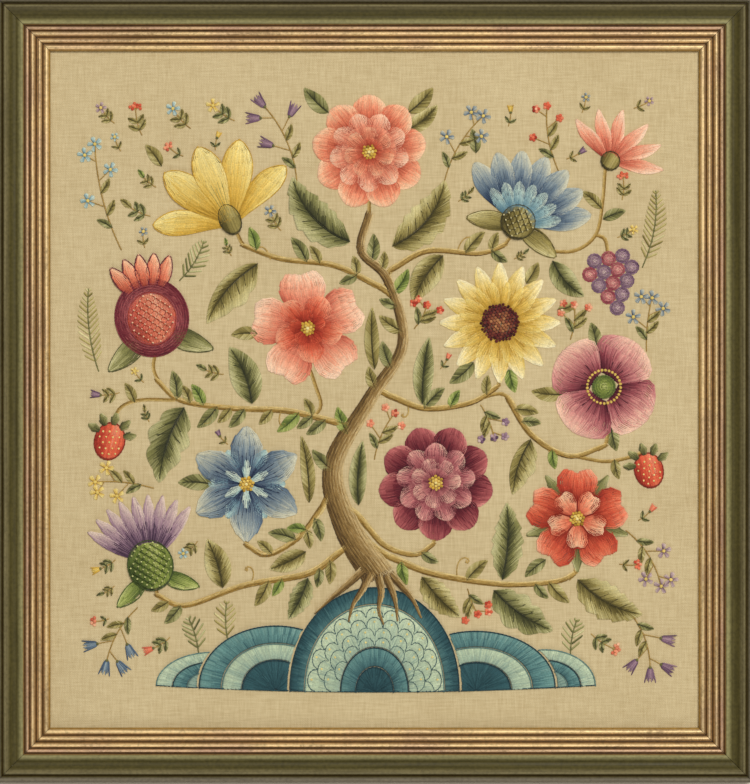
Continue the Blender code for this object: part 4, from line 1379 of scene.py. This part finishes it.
def stitch_tree():
    """Geometry nodes that lay a strand or a knot on each point, raise it off the cloth and dye it."""
    tree = bpy.data.node_groups.new("Wool stitches", "GeometryNodeTree")
    add = partial(add_node, tree)
    for name, kind, value in (
        ("Stitches", "Geometry", None),
        ("Strand", "Object", None),
        ("Knot", "Object", None),
        ("Cloth Height", "Float", 0.0),
        ("Thickness", "Float", 1.0),
        ("Unevenness", "Float", 0.0),
        ("Dye Spread", "Float", 0.1),
        ("Seed", "Int", 0),
        ("Wool", "Material", None),
    ):
        socket = tree.interface.new_socket(name, in_out="INPUT", socket_type=f"NodeSocket{kind}")
        if value is not None:
            socket.default_value = value
    tree.interface.new_socket("Sewn", in_out="OUTPUT", socket_type="NodeSocketGeometry")
    given = add("NodeGroupInput").outputs
    read = {
        name: add("GeometryNodeInputNamedAttribute", {"Name": name}, data_type=kind)
        for kind, names in (
            ("FLOAT", "turn along loft shade"), ("INT", "kind"), ("FLOAT_VECTOR", "size rise cell plan"),
            ("FLOAT_COLOR", "dye dye_end"),
        ) for name in names.split()
    }

    points = given["Stitches"]
    for name, middle, amount, shift in (("loft", 0.0, "Unevenness", 0.0), ("shade", 1.0, "Dye Spread", 1.0)):
        seed = add(MATH, (given["Seed"], shift), operation="ADD")
        loose = add("FunctionNodeRandomValue", {2: -1.0, 3: 1.0, "Seed": seed}, data_type="FLOAT")
        value = add(MATH, (loose, given[amount], middle), operation="MULTIPLY_ADD")
        points = add(STORE, {"Geometry": points, "Name": name, "Value": value}, data_type="FLOAT",
                     domain="POINT")
    units = add("GeometryNodeJoinGeometry")
    for name in ("Knot", "Strand"):
        unit = add("GeometryNodeObjectInfo", {"Object": given[name], "As Instance": True})
        tree.links.new(unit.outputs["Geometry"], units.inputs[0])
    laid = add("GeometryNodeInstanceOnPoints", {
        "Points": points, "Instance": units, "Pick Instance": True, "Instance Index": read["kind"],
        "Rotation": add(JOIN, {"Z": read["turn"]}), "Scale": read["size"],
    })

    place = add(SPLIT, (add("GeometryNodeInputPosition"),)).outputs
    rise = add(SPLIT, (read["rise"],)).outputs
    high = add(MIX, {0: read["along"], 2: rise["X"], 3: rise["Y"]}, data_type="FLOAT")
    high = add(MATH, (high, given["Thickness"], read["loft"]), operation="MULTIPLY_ADD")
    up = add(MATH, (place["Z"], high, given["Cloth Height"]), operation="MULTIPLY_ADD")
    sewn = add("GeometryNodeSetPosition", {
        "Geometry": add("GeometryNodeRealizeInstances", (laid,)),
        "Position": add(JOIN, (place["X"], place["Y"], up)),
    })
    dyed = add(MIX, {0: read["along"], 6: read["dye"], 7: read["dye_end"]}, data_type="RGBA")
    dyed = add(VECTOR, {0: dyed, "Scale": read["shade"]}, operation="SCALE")
    cell = add(SPLIT, (read["cell"],)).outputs["Z"]
    plan = add(VECTOR, {0: read["plan"], "Scale": cell}, operation="SCALE")
    plan = add(VECTOR, (plan, read["cell"]), operation="ADD")
    length = add(SPLIT, (read["size"],)).outputs["X"]
    run = add(MATH, (length, read["along"]), operation="MULTIPLY")
    lay = add(JOIN, (run, add(SPLIT, (read["plan"],)).outputs["Y"]))
    for name, value, kind, domain in (
        ("dye", dyed, "FLOAT_COLOR", "POINT"), ("OFBake", plan, "FLOAT2", "CORNER"),
        ("lay", lay, "FLOAT_VECTOR", "CORNER"),
    ):
        sewn = add(STORE, {"Geometry": sewn, "Name": name, "Value": value}, data_type=kind, domain=domain)
    sewn = add("GeometryNodeSetMaterial", {"Geometry": sewn, "Material": given["Wool"]})
    add("NodeGroupOutput", {"Sewn": sewn})
    return tree


def put_in_scene(name, data):
    """A new object in the scene."""
    thing = bpy.data.objects.new(name, data)
    bpy.context.scene.collection.objects.link(thing)
    return thing


def finish_piece(piece, slot, *nodes):
    """Ties a finished piece to its body and hides the solids that it stands for. Its slot is not used."""
    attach(piece, BODY)
    if nodes:
        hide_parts(*nodes)


# What only the geometry nodes read, removed from a piece once it is sewn
HELPERS = ("turn", "size", "rise", "cell", "kind", "along", "plan", "loft", "shade", "dye_end")


def stitched_piece(sewing, slot, *nodes):
    """The stitches of one piece as a plain mesh."""
    start, end, rise, dye, dye_end, width, kind = np.split(
        np.concatenate(sewing.rows), (2, 4, 6, 9, 12, 13), axis=1)
    width, knot = width[:, 0], kind[:, 0] > 0
    reach = end - start
    length = np.where(knot, width, np.linalg.norm(reach, axis=1))
    turn = np.where(knot, start[:, 0] * 7.7 + start[:, 1] * 3.1, np.arctan2(reach[:, 1], reach[:, 0]))
    count = len(knot)
    side = math.ceil(math.sqrt(count))
    row, column = np.divmod(np.arange(count), side)
    mesh = bpy.data.meshes.new(sewing.name)
    mesh.vertices.add(count)
    mesh.vertices.foreach_set("co", np.column_stack([start * MM, np.zeros(count)]).ravel())
    for name, data_type, field, *columns in (
        ("turn", "FLOAT", "value", turn),
        ("size", "FLOAT_VECTOR", "vector", length * MM, width * MM, np.ones(count)),
        ("rise", "FLOAT_VECTOR", "vector", (rise + SUNK) * MM, np.zeros(count)),
        ("dye", "FLOAT_COLOR", "color", dye, np.ones(count)),
        ("dye_end", "FLOAT_COLOR", "color", dye_end, np.ones(count)),
        ("cell", "FLOAT_VECTOR", "vector", column / side, row / side, np.full(count, 1 / side)),
        ("kind", "INT", "value", knot.astype(np.int32)),
    ):
        values = np.ascontiguousarray(np.column_stack(columns)).ravel()
        mesh.attributes.new(name, data_type, "POINT").data.foreach_set(field, values)
    piece = put_in_scene(f"{sewing.name}_stitches", mesh)
    sewn = piece.modifiers.new("Stitches", "NODES")
    sewn.node_group = bpy.data.node_groups.get("Wool stitches") or stitch_tree()
    sizes = sewing.props.wool
    values = {
        "Strand": bpy.data.objects.get("Strand") or strand_unit(),
        "Knot": bpy.data.objects.get("Knot") or knot_unit(),
        "Cloth Height": (LINEN_TOP - SUNK) * MM,
        "Unevenness": sizes.unevenness,
        "Dye Spread": sizes.dye_spread,
        "Seed": sizes.seed,
        "Wool": (bpy.data.materials.get("Crewel wool")
                 or material_of("Crewel wool", crewel_wool, sewing.props)),
    }
    for socket in sewn.node_group.interface.items_tree:
        if socket.name in values:
            sewn[socket.identifier] = values[socket.name]
    graph = bpy.context.evaluated_depsgraph_get()
    plain = bpy.data.meshes.new_from_object(piece.evaluated_get(graph), depsgraph=graph)
    piece.modifiers.clear()
    piece.data = plain
    plain.name = piece.name
    for name in HELPERS:
        if name in plain.attributes:
            plain.attributes.remove(plain.attributes[name])
    plain.shade_smooth()
    finish_piece(piece, slot, *nodes)


# Materials

def material_of(name, finish, props):
    """A material whose shader takes what finish gives for its inputs."""
    material = bpy.data.materials.new(name)
    material.use_nodes = True
    tree = material.node_tree
    set_inputs(tree.nodes["Principled BSDF"], finish(partial(add_node, tree), props))
    return material


def crewel_wool(add, props):
    """Two-ply crewel wool: soft, matt and hairy, with a slow twist that shows in the light."""
    place = add("ShaderNodeTexCoord").outputs["Object"]
    fibres = add(NOISE, {"Vector": place, "Scale": 1 / (0.9 * MM), "Detail": 2.0})
    lay = add("ShaderNodeAttribute", attribute_name="lay").outputs["Vector"]
    lay = add(SPLIT, (lay,)).outputs
    turns = add(MATH, (lay["X"], 1 / props.wool.ply_pitch), operation="MULTIPLY")
    turns = add(MATH, (lay["Y"], 1.6, turns), operation="MULTIPLY_ADD")
    ply = add(MATH, (add(MATH, (turns, 2 * math.pi), operation="MULTIPLY"),), operation="SINE")
    ply = add(MATH, (ply, 0.35), operation="MULTIPLY")
    height = add(MATH, (fibres, 1.2, ply), operation="MULTIPLY_ADD")
    dye = add("ShaderNodeAttribute", attribute_name="dye")
    shade = add(RANGE, (fibres, 0.3, 0.7, 0.84, 1.14))
    return {
        "Base Color": add(VECTOR, {0: dye, "Scale": shade}, operation="SCALE"),
        "Normal": add("ShaderNodeBump", {"Strength": 0.55, "Distance": 0.12 * MM, "Height": height}),
        "Roughness": 0.92, "Specular IOR Level": 0.25, "Sheen Weight": 0.22, "Sheen Roughness": 0.45,
    }


def natural_linen(add, props):
    """Unbleached linen: a plain weave of uneven flax threads, matt, with darker slubs both ways."""
    linen, pitch = props.linen, props.linen.thread_pitch
    place = add("ShaderNodeTexCoord").outputs["Object"]
    streaks = []
    for stretched in ((0.08, 1.0, 1.0), (1.0, 0.08, 1.0)):
        along = add("ShaderNodeMapping", {"Vector": place, "Scale": stretched})
        streaks.append(add(NOISE, {"Vector": along, "Scale": 0.6 / pitch, "Detail": 2.0, "Roughness": 0.7}))
    threads = add(MATH, streaks, operation="ADD")
    cloud = add(NOISE, {"Vector": place, "Scale": 14.0, "Detail": 2.0})
    shade = add(MATH, (add(RANGE, (threads, 0.45, 1.3)), 0.25), operation="SUBTRACT")
    shade = add(MATH, (cloud, 0.5, shade), operation="MULTIPLY_ADD")
    wander = add(NOISE, {"Vector": place, "Scale": 0.12 / pitch}).outputs["Color"]
    moved = add(VECTOR, (wander, (2.0 * pitch,) * 3, place), operation="MULTIPLY_ADD")
    waves = []
    for axis in add(SPLIT, (moved,)).outputs[:2]:
        wave = add(MATH, (axis, math.pi / pitch), operation="MULTIPLY")
        waves.append(add(MATH, (wave,), operation="SINE"))
    weave = add(MATH, waves, operation="MULTIPLY")
    height = add(MATH, (threads, 1.5, weave), operation="MULTIPLY_ADD")
    return {
        "Base Color": add(MIX, {0: shade, 6: (*linen.slub, 1.0), 7: (*linen.flax, 1.0)}, data_type="RGBA"),
        "Normal": add("ShaderNodeBump", {"Strength": 0.5, "Distance": 0.16 * MM, "Height": height}),
        "Roughness": 0.95, "Specular IOR Level": 0.2, "Sheen Weight": 0.1,
    }


def gilded_wood(add, props):
    """Stained and gilded hardwood: worn leaf on the ridges, painted shade in the grooves and on the slopes
    between them, and a dull olive hollow.
    """
    place = add("ShaderNodeTexCoord").outputs["Object"]
    axes = add(SPLIT, (place,)).outputs
    sides, brushes = [], []
    for axis, half, stretched in (
        ("X", SIGHT_HALF_WIDTH, (6.0, 160.0, 60.0)), ("Y", SIGHT_HALF_HEIGHT, (160.0, 6.0, 60.0)),
    ):
        side = add(MATH, (axes[axis],), operation="ABSOLUTE")
        sides.append(add(MATH, (side, half * MM), operation="SUBTRACT"))
        brushes.append(add("ShaderNodeMapping", {"Vector": place, "Scale": stretched}))
    share = add(MATH, (add(MATH, sides, operation="MAXIMUM"), RIM.far * MM), operation="DIVIDE")
    upright = add(MATH, sides, operation="GREATER_THAN")
    along = add(MIX, {0: upright, 4: brushes[0], 5: brushes[1]}, data_type="VECTOR")
    brushed, speck, patch = [
        add(NOISE, {"Vector": spot, "Scale": scale, "Detail": detail})
        for spot, scale, detail in ((along, 3.0, 4.0), (place, 420.0, 3.0), (place, 28.0, 2.0))
    ]

    def tint(paint):
        """A paint's colour, or a grey."""
        return (*getattr(props.moulding, paint), 1.0) if isinstance(paint, str) else (*(paint,) * 3, 1.0)

    # Painted shade: dark lines along the middles of the grooves, where shadow falls
    lines = [(middle + aside, dark) for middle in groove_middles()
             for aside, dark in ((-0.65, 0.0), (-0.22, 1.0), (0.22, 1.0), (0.65, 0.0))]
    leaf = [(edge + aside, gilt) for ridge in RIDGES
            for edge, aside, gilt in ((ridge.near, -0.2, 0.0), (ridge.near, 0.2, 1.0),
                                      (ridge.far, -0.2, 1.0), (ridge.far, 0.2, 0.0))]
    flank = [(edge, red) for ridge, red in zip(RIDGES, RIDGE_REDNESS) for edge in (ridge.near, ridge.far)]
    # The clay stops are painted shade on the slopes between the ridges
    stain = [
        (0.0, "edge"), (0.7, "edge"), (1.1, "clay"), (LIP.near - 0.1, "clay"), (LIP.near + 0.4, "moss"),
        (COVE.near + 0.2, "moss"), (COVE.near + 2.6, "green"), (COVE.far - 2.4, "green"),
        (BEAD.near - 0.2, "bead"), (BEAD.far - 0.3, "bead"), (BEAD.far + 0.3, "green"),
        (RIM.near - 0.3, "green"), (RIM.near + 0.5, "rim"), (RIM.far, "rim"),
    ]
    ramps = []
    for stops in (*([(0.0, 0.0), *stops, (RIM.far, 0.0)] for stops in (lines, leaf, flank)), stain):
        ramps.append(add("ShaderNodeValToRGB", (share,)))
        points = ramps[-1].color_ramp.elements
        points[0].color, points[1].color = tint(stops[0][1]), tint(stops[-1][1])
        for at, paint in stops[1:-1]:
            points.new(at / RIM.far).color = tint(paint)
    line, leaf, flank, stain = ramps

    red = add(RANGE, (patch, 0.42, 0.62, -0.1, 0.35))
    red = add(MATH, (flank, red), operation="ADD", use_clamp=True)
    gilt = add(MIX, {0: red, 6: tint("gold"), 7: tint("pink_gold")}, data_type="RGBA")
    rubbed = add(RANGE, (add(MATH, (speck, 0.6, brushed), operation="MULTIPLY_ADD"), 0.58, 0.72))
    metal = add(MATH, (leaf, add(MATH, (rubbed, 0.4, 0.6), operation="MULTIPLY_ADD")), operation="MULTIPLY")
    colour = add(MIX, {0: metal, 6: stain, 7: gilt}, data_type="RGBA")
    # Lays the painted groove shade over the stain and the leaf
    dark = add(MATH, (line, 0.9), operation="MULTIPLY")
    colour = add(MIX, {0: dark, 6: colour, 7: tint("groove")}, data_type="RGBA")
    worn = add(RANGE, (add(MATH, (brushed, speck), operation="MULTIPLY"), 0.14, 0.34, 0.78, 1.16))
    face, back = [add(VECTOR, {0: paint, "Scale": worn}, operation="SCALE")
                  for paint in (colour, tuple(props.moulding.bare))]
    below = add(MATH, (axes["Z"], BACK_DEPTH * MM), operation="LESS_THAN")
    return {
        "Base Color": add(MIX, {0: below, 6: face, 7: back}, data_type="RGBA"),
        "Metallic": add(MATH, (metal, 0.7), operation="MULTIPLY"),
        "Roughness": add(RANGE, (brushed, 0.3, 0.7, 0.40, 0.58)),
        "Normal": add("ShaderNodeBump", {"Strength": 0.3, "Distance": 0.2 * MM, "Height": speck}),
        "Specular IOR Level": 0.2,
    }


def grey_card(add, props):
    """Grey pulp board: matt, with fine flecks of pressed fibre."""
    place = add("ShaderNodeTexCoord").outputs["Object"]
    flecks = add(NOISE, {"Vector": place, "Scale": 700.0, "Detail": 4.0})
    shade = add(RANGE, {"Value": flecks, "To Min": 0.8, "To Max": 1.2})
    return {
        "Base Color": add(VECTOR, {0: tuple(props.moulding.card), "Scale": shade}, operation="SCALE"),
        "Normal": add("ShaderNodeBump", {"Strength": 0.3, "Distance": 0.1 * MM, "Height": flecks}),
        "Roughness": 0.95,
    }


def pale_floor(add, props):
    """A plain matt floor."""
    return {"Base Color": (*props.stage.floor, 1.0), "Roughness": 0.9}


# Linen and mouldings

def linen_mesh(props):
    """The linen as a thin closed sheet, stretched flat but for a slight rise and fall."""
    across, along = LINEN_GRID
    x, y = np.meshgrid(np.linspace(-0.5, 0.5, across) * LINEN_WIDTH,
                       np.linspace(-0.5, 0.5, along) * LINEN_LENGTH)
    swell = (np.sin(x / 61 + 0.8) * np.cos(y / 47) + 0.5 * np.sin(x / 23 + y / 31)
             + 0.3 * np.cos(x / 11 - y / 17 + 1.1)) / 1.8
    top = LINEN_TOP - props.linen.unevenness / MM * (0.5 + 0.5 * swell)
    bottom = np.full_like(top, LINEN_LOW[2])
    points = np.concatenate([np.stack([x, y, z], axis=-1).reshape(-1, 3) for z in (top, bottom)]) * MM
    index = np.arange(across * along).reshape(along, across)
    quads = np.stack([index[:-1, :-1], index[:-1, 1:], index[1:, 1:], index[1:, :-1]], axis=-1).reshape(-1, 4)
    rim = np.concatenate([index[0, :], index[1:, -1], index[-1, -2::-1], index[-2:0:-1, 0]])
    after = np.roll(rim, -1)
    wall = np.stack([rim, rim + across * along, after + across * along, after], axis=-1)
    mesh = bpy.data.meshes.new("linen_cloth")
    mesh.from_pydata(
        points.tolist(), [], np.concatenate([quads, quads[:, ::-1] + across * along, wall]).tolist())
    mesh.shade_smooth()
    mesh.set_sharp_from_angle(angle=math.radians(40))
    return mesh


def ridge_rise(ridge, u):
    """Height of a rounded ridge over its foot."""
    s = np.clip(abs(2 * (u - ridge.near) / (ridge.far - ridge.near) - 1), 0, 1)
    return (ridge.crown - ridge.foot) * (1 - s ** 2.4) ** 0.9


def groove_middles():
    """Where the moulding's grooves run, cut in and darkened with painted shade: between the ridges and inside
    the rim.
    """
    rows = (*RIDGES, LIP)
    return [(a.far + b.near) / 2 for a, b in (*zip(rows, rows[1:]), (BEAD, RIM))]


def moulding_height(u):
    """Height of the moulding's face at distances outwards from the sight edge, its corners eased."""
    rows = (*RIDGES, LIP, BEAD, RIM)
    feet = [(0.0, SIGHT_EDGE_HIGH), *((edge, row.foot) for row in rows for edge in (row.near, row.far))]
    fine = np.arange(0, RIM.far + 0.01, FINE_STEP)
    z = np.interp(fine, *zip(*feet))
    for middle in groove_middles():
        sink = OUTER_SINK if middle > BEAD.far else GROOVE_SINK
        z -= sink * np.clip(1 - abs(fine - middle) / GROOVE_HALF_WIDTH, 0, 1)
    for row in rows:
        z += np.where((fine > row.near) & (fine < row.far), ridge_rise(row, fine), 0)
    t = np.clip((fine - COVE.near) / (COVE.far - COVE.near), 0, 1)
    hollow = COVE.foot + (COVE.crown - COVE.foot) * t - COVE_SINK * np.sin(np.pi * t)
    lowest = fine[hollow.argmin()]
    crest = (LIP.near + LIP.far) / 2
    fall = 0.5 + 0.5 * np.cos(np.pi * np.clip((fine - crest) / (lowest - crest), 0, 1))
    hollow = np.where(fine < lowest, hollow.min() + (LIP.crown - hollow.min()) * fall, hollow)
    z = np.where((fine > crest) & (fine < COVE.far), hollow, z)
    kernel = np.hanning(2 * EASED_STEPS + 3)[1:-1]
    z = np.convolve(np.pad(z, EASED_STEPS, "edge"), kernel / kernel.sum(), "valid")
    return np.interp(u, fine, z)


def rail_mesh(name, half_length, half_across, turn):
    """A mitred rail below the window, then turned. Its map lays the face out in long strips."""
    u = np.arange(0, RIM.far + 0.01, PROFILE_STEP)
    face = paired(u, moulding_height(u))
    face[-1, 0] -= 0.15
    outer = [(RIM.far, RIM.foot - 0.5), (RIM.far, 0.5), (RIM.far - 0.5, 0.0)]
    under = [(REBATE_WIDTH, 0.0), (REBATE_WIDTH, SIGHT_EDGE_LOW), (0.0, SIGHT_EDGE_LOW)]
    profile = np.vstack([face, outer, under])
    count, ends = len(profile), RAIL_SEGMENTS + 1
    reach = half_length + profile[:, 0] - MITRE_GAP / math.sqrt(2)
    along = np.linspace(-1, 1, ends)[:, None] * reach
    flat = paired(along, np.tile(-(half_across + profile[:, 0]), (ends, 1)))
    points = np.column_stack([turned(flat.reshape(-1, 2), turn), np.tile(profile[:, 1], ends)]) * MM

    # Shares of a strip's height that the face, the outer wall and the back take, from point to point
    share = [*np.linspace(0.0, 0.72, len(face)), 0.76, 0.84, 0.85, 0.95, 0.97, 0.99, 1.0]
    per_strip = RAIL_SEGMENTS // RAIL_STRIPS
    faces, plans = [], []
    for k in range(RAIL_SEGMENTS):
        strip, at = divmod(k, per_strip)
        for i in range(count):
            near, far = k * count, (k + 1) * count
            j = (i + 1) % count
            faces.append((near + i, near + j, far + j, far + i))
            plans += [(0.004 + 0.984 * (at + side) / per_strip, (strip + 0.02 + 0.96 * up) / RAIL_STRIPS)
                      for side, up in ((0, share[i]), (0, share[i + 1]), (1, share[i + 1]), (1, share[i]))]
    for cap, first_point, low in (
        (range(count), 0, 0.1), (range(count - 1, -1, -1), RAIL_SEGMENTS * count, 0.6),
    ):
        faces.append([first_point + i for i in cap])
        plans += [(0.991 + 0.008 * x / RIM.far, low + 0.2 * z / RIM.crown) for x, z in profile[list(cap)]]
    mesh = bpy.data.meshes.new(name)
    mesh.from_pydata(points.tolist(), [], faces)
    mesh.uv_layers.new(name="OFBake").uv.foreach_set("vector", np.array(plans).ravel())
    mesh.shade_smooth()
    mesh.set_sharp_from_angle(angle=math.radians(38))
    return mesh


# Operators

class CrewelMaker:
    """What the operators share."""

    bl_options = {"REGISTER", "UNDO"}

    def execute(self, context):
        self.make(context.scene.crewel)
        return {"FINISHED"}


class CrewelSewer(CrewelMaker):
    """What the operators share that sew motifs, each in place of its solid."""

    def make(self, props):
        for motif in self.motifs:
            sewing = Sewing(motif.name, props)
            self.sew(sewing, motif)
            stitched_piece(sewing, SLOT_OF[motif.name], motif.name)


class CREWEL_OT_stretch_linen(CrewelMaker, bpy.types.Operator):
    """Weave the linen and stretch it over its board"""

    bl_idname = "crewel.stretch_linen"
    bl_label = "Stretch Linen"

    def make(self, props):
        piece = put_in_scene("linen_cloth", linen_mesh(props))
        piece.data.materials.append(material_of("Natural linen", natural_linen, props))
        finish_piece(piece, SLOT_OF["linen"], "linen")
        board = frame["nodes"]["mounting_board"]
        board.data.materials.clear()
        board.data.materials.append(material_of("Grey card", grey_card, props))


class CREWEL_OT_finish_rails(CrewelMaker, bpy.types.Operator):
    """Stain and gild the four rails"""

    bl_idname = "crewel.finish_rails"
    bl_label = "Finish Rails"

    def make(self, props):
        finish = material_of("Gilded and stained wood", gilded_wood, props)
        wide, tall = SIGHT_HALF_WIDTH, SIGHT_HALF_HEIGHT
        for name, half_length, half_across, turn in (
            ("rail_bottom", wide, tall, 0),
            ("rail_right", tall, wide, 90),
            ("rail_top", wide, tall, 180),
            ("rail_left", tall, wide, 270),
        ):
            mesh = rail_mesh(f"{name}_moulding", half_length, half_across, turn)
            mesh.materials.append(finish)
            finish_piece(put_in_scene(mesh.name, mesh), SLOT_OF[name], name)


class CREWEL_OT_sew_hillocks(CrewelSewer, bpy.types.Operator):
    """Sew the hillocks in bands of teal and aqua wool"""

    bl_idname = "crewel.sew_hillocks"
    bl_label = "Sew Hillocks"
    motifs = MOUNDS
    sew = staticmethod(sew_mound)


class CREWEL_OT_sew_branches(CrewelSewer, bpy.types.Operator):
    """Sew the trunk and its branches in rows of stem stitch"""

    bl_idname = "crewel.sew_branches"
    bl_label = "Sew Trunk and Branches"
    motifs = (TRUNK, *BRANCHES)
    sew = staticmethod(sew_wood)


class CREWEL_OT_sew_blossoms(CrewelSewer, bpy.types.Operator):
    """Sew the blossoms and fruit in long and short stitch"""

    bl_idname = "crewel.sew_blossoms"
    bl_label = "Sew Blossoms and Fruit"
    motifs = BLOSSOMS
    sew = staticmethod(sew_blossom)


class CREWEL_OT_sew_leaves(CrewelSewer, bpy.types.Operator):
    """Sew the leaves in slanting satin stitch"""

    bl_idname = "crewel.sew_leaves"
    bl_label = "Sew Leaves"
    motifs = LEAVES
    sew = staticmethod(sew_leaf)


class CREWEL_OT_sew_sprigs(CrewelMaker, bpy.types.Operator):
    """Sew small flowers, berries and ferns in the open ground"""

    bl_idname = "crewel.sew_sprigs"
    bl_label = "Sew Sprigs"

    def make(self, props):
        ground = Ground()
        for name, slot, sew in (
            ("stalks", "wool_stem", sew_stalks),
            *((f"sprigs_{kind}", "wool_leaf", partial(sew_sprigs, kind=kind)) for kind in SPRIG_KINDS),
            ("growth", "wool_leaf", partial(sew_growth, ground=ground)),
            ("seedlings", "wool_leaf", partial(sew_seedlings, ground=ground)),
        ):
            sewing = Sewing(name, props)
            sew(sewing)
            stitched_piece(sewing, slot)


# The photograph's frame, in pixels
PHOTO_WIDTH, PHOTO_HEIGHT = 750, 784
WINDOW_CENTRE = (374.5, 389.5)
MM_PER_PIXEL = 0.75
FLOOR_HALF_SIZE = 3.0


class CREWEL_OT_set_stage(CrewelMaker, bpy.types.Operator):
    """Set a pale floor, soft light from the picture's top right and a camera straight above its face"""

    bl_idname = "crewel.set_stage"
    bl_label = "Set Stage"

    def make(self, props):
        scene, stage = bpy.context.scene, props.stage
        mesh = bpy.data.meshes.new("floor")
        corners = [(x * FLOOR_HALF_SIZE, y * FLOOR_HALF_SIZE, 0)
                   for x, y in ((-1, -1), (1, -1), (1, 1), (-1, 1))]
        mesh.from_pydata(corners, [], [(0, 1, 2, 3)])
        mesh.materials.append(material_of("Floor", pale_floor, props))
        put_in_scene("floor", mesh)

        camera = scene.camera = put_in_scene("Camera", bpy.data.cameras.new("Camera"))
        x = (PHOTO_WIDTH / 2 - WINDOW_CENTRE[0]) * MM_PER_PIXEL * MM
        y = (WINDOW_CENTRE[1] - PHOTO_HEIGHT / 2) * MM_PER_PIXEL * MM
        camera.location = (x, y, LINEN_TOP * MM + stage.distance)
        camera.data.lens = camera.data.sensor_width * stage.distance / (PHOTO_HEIGHT * MM_PER_PIXEL * MM)
        camera.data.clip_end = 20.0

        for name, place, size, power in (
            ("Key", (1.6, 2.4, 4.6), 2.4, stage.key_power),
            ("Low", (-0.6, -4.5, 2.0), 1.6, stage.key_power * 0.25),
        ):
            lamp = put_in_scene(name, bpy.data.lights.new(name, "AREA"))
            lamp.data.size, lamp.data.energy = size, power
            lamp.location = place
            lamp.rotation_euler = (-lamp.location).to_track_quat("-Z", "Y").to_euler()

        scene.world = bpy.data.worlds.new("Studio")
        scene.world.use_nodes = True
        set_inputs(scene.world.node_tree.nodes["Background"],
                   {"Color": (1.0, 0.98, 0.95, 1.0), "Strength": stage.fill})
        scene.view_settings.view_transform = "Standard"


OPERATORS = (
    CREWEL_OT_stretch_linen,
    CREWEL_OT_finish_rails,
    CREWEL_OT_sew_hillocks,
    CREWEL_OT_sew_branches,
    CREWEL_OT_sew_blossoms,
    CREWEL_OT_sew_leaves,
    CREWEL_OT_sew_sprigs,
    CREWEL_OT_set_stage,
)


class CREWEL_PT_picture(bpy.types.Panel):
    """Sizes, colours and steps of the picture"""

    bl_idname = "CREWEL_PT_picture"
    bl_label = "Crewel Picture"
    bl_space_type = "VIEW_3D"
    bl_region_type = "UI"
    bl_category = "Crewel"

    def draw(self, context):
        props = context.scene.crewel
        for group in (props.wool, props.linen, props.moulding, props.stage, props.shades):
            box = self.layout.box()
            for name in group.bl_rna.properties.keys():
                if name not in ("rna_type", "name"):
                    box.prop(group, name)
        for operator in OPERATORS:
            self.layout.operator(operator.bl_idname)


CLASSES = (
    CrewelWool, CrewelShades, CrewelLinen, CrewelMoulding, CrewelStage, CrewelPicture,
    *OPERATORS, CREWEL_PT_picture,
)


def register():
    for cls in CLASSES:
        bpy.utils.register_class(cls)
    bpy.types.Scene.crewel = bpy.props.PointerProperty(type=CrewelPicture)


def unregister():
    del bpy.types.Scene.crewel
    for cls in reversed(CLASSES):
        bpy.utils.unregister_class(cls)


def main():
    register()
    for operator in OPERATORS:
        group, name = operator.bl_idname.split(".")
        getattr(getattr(bpy.ops, group), name)()


if __name__ == "__main__":
    main()
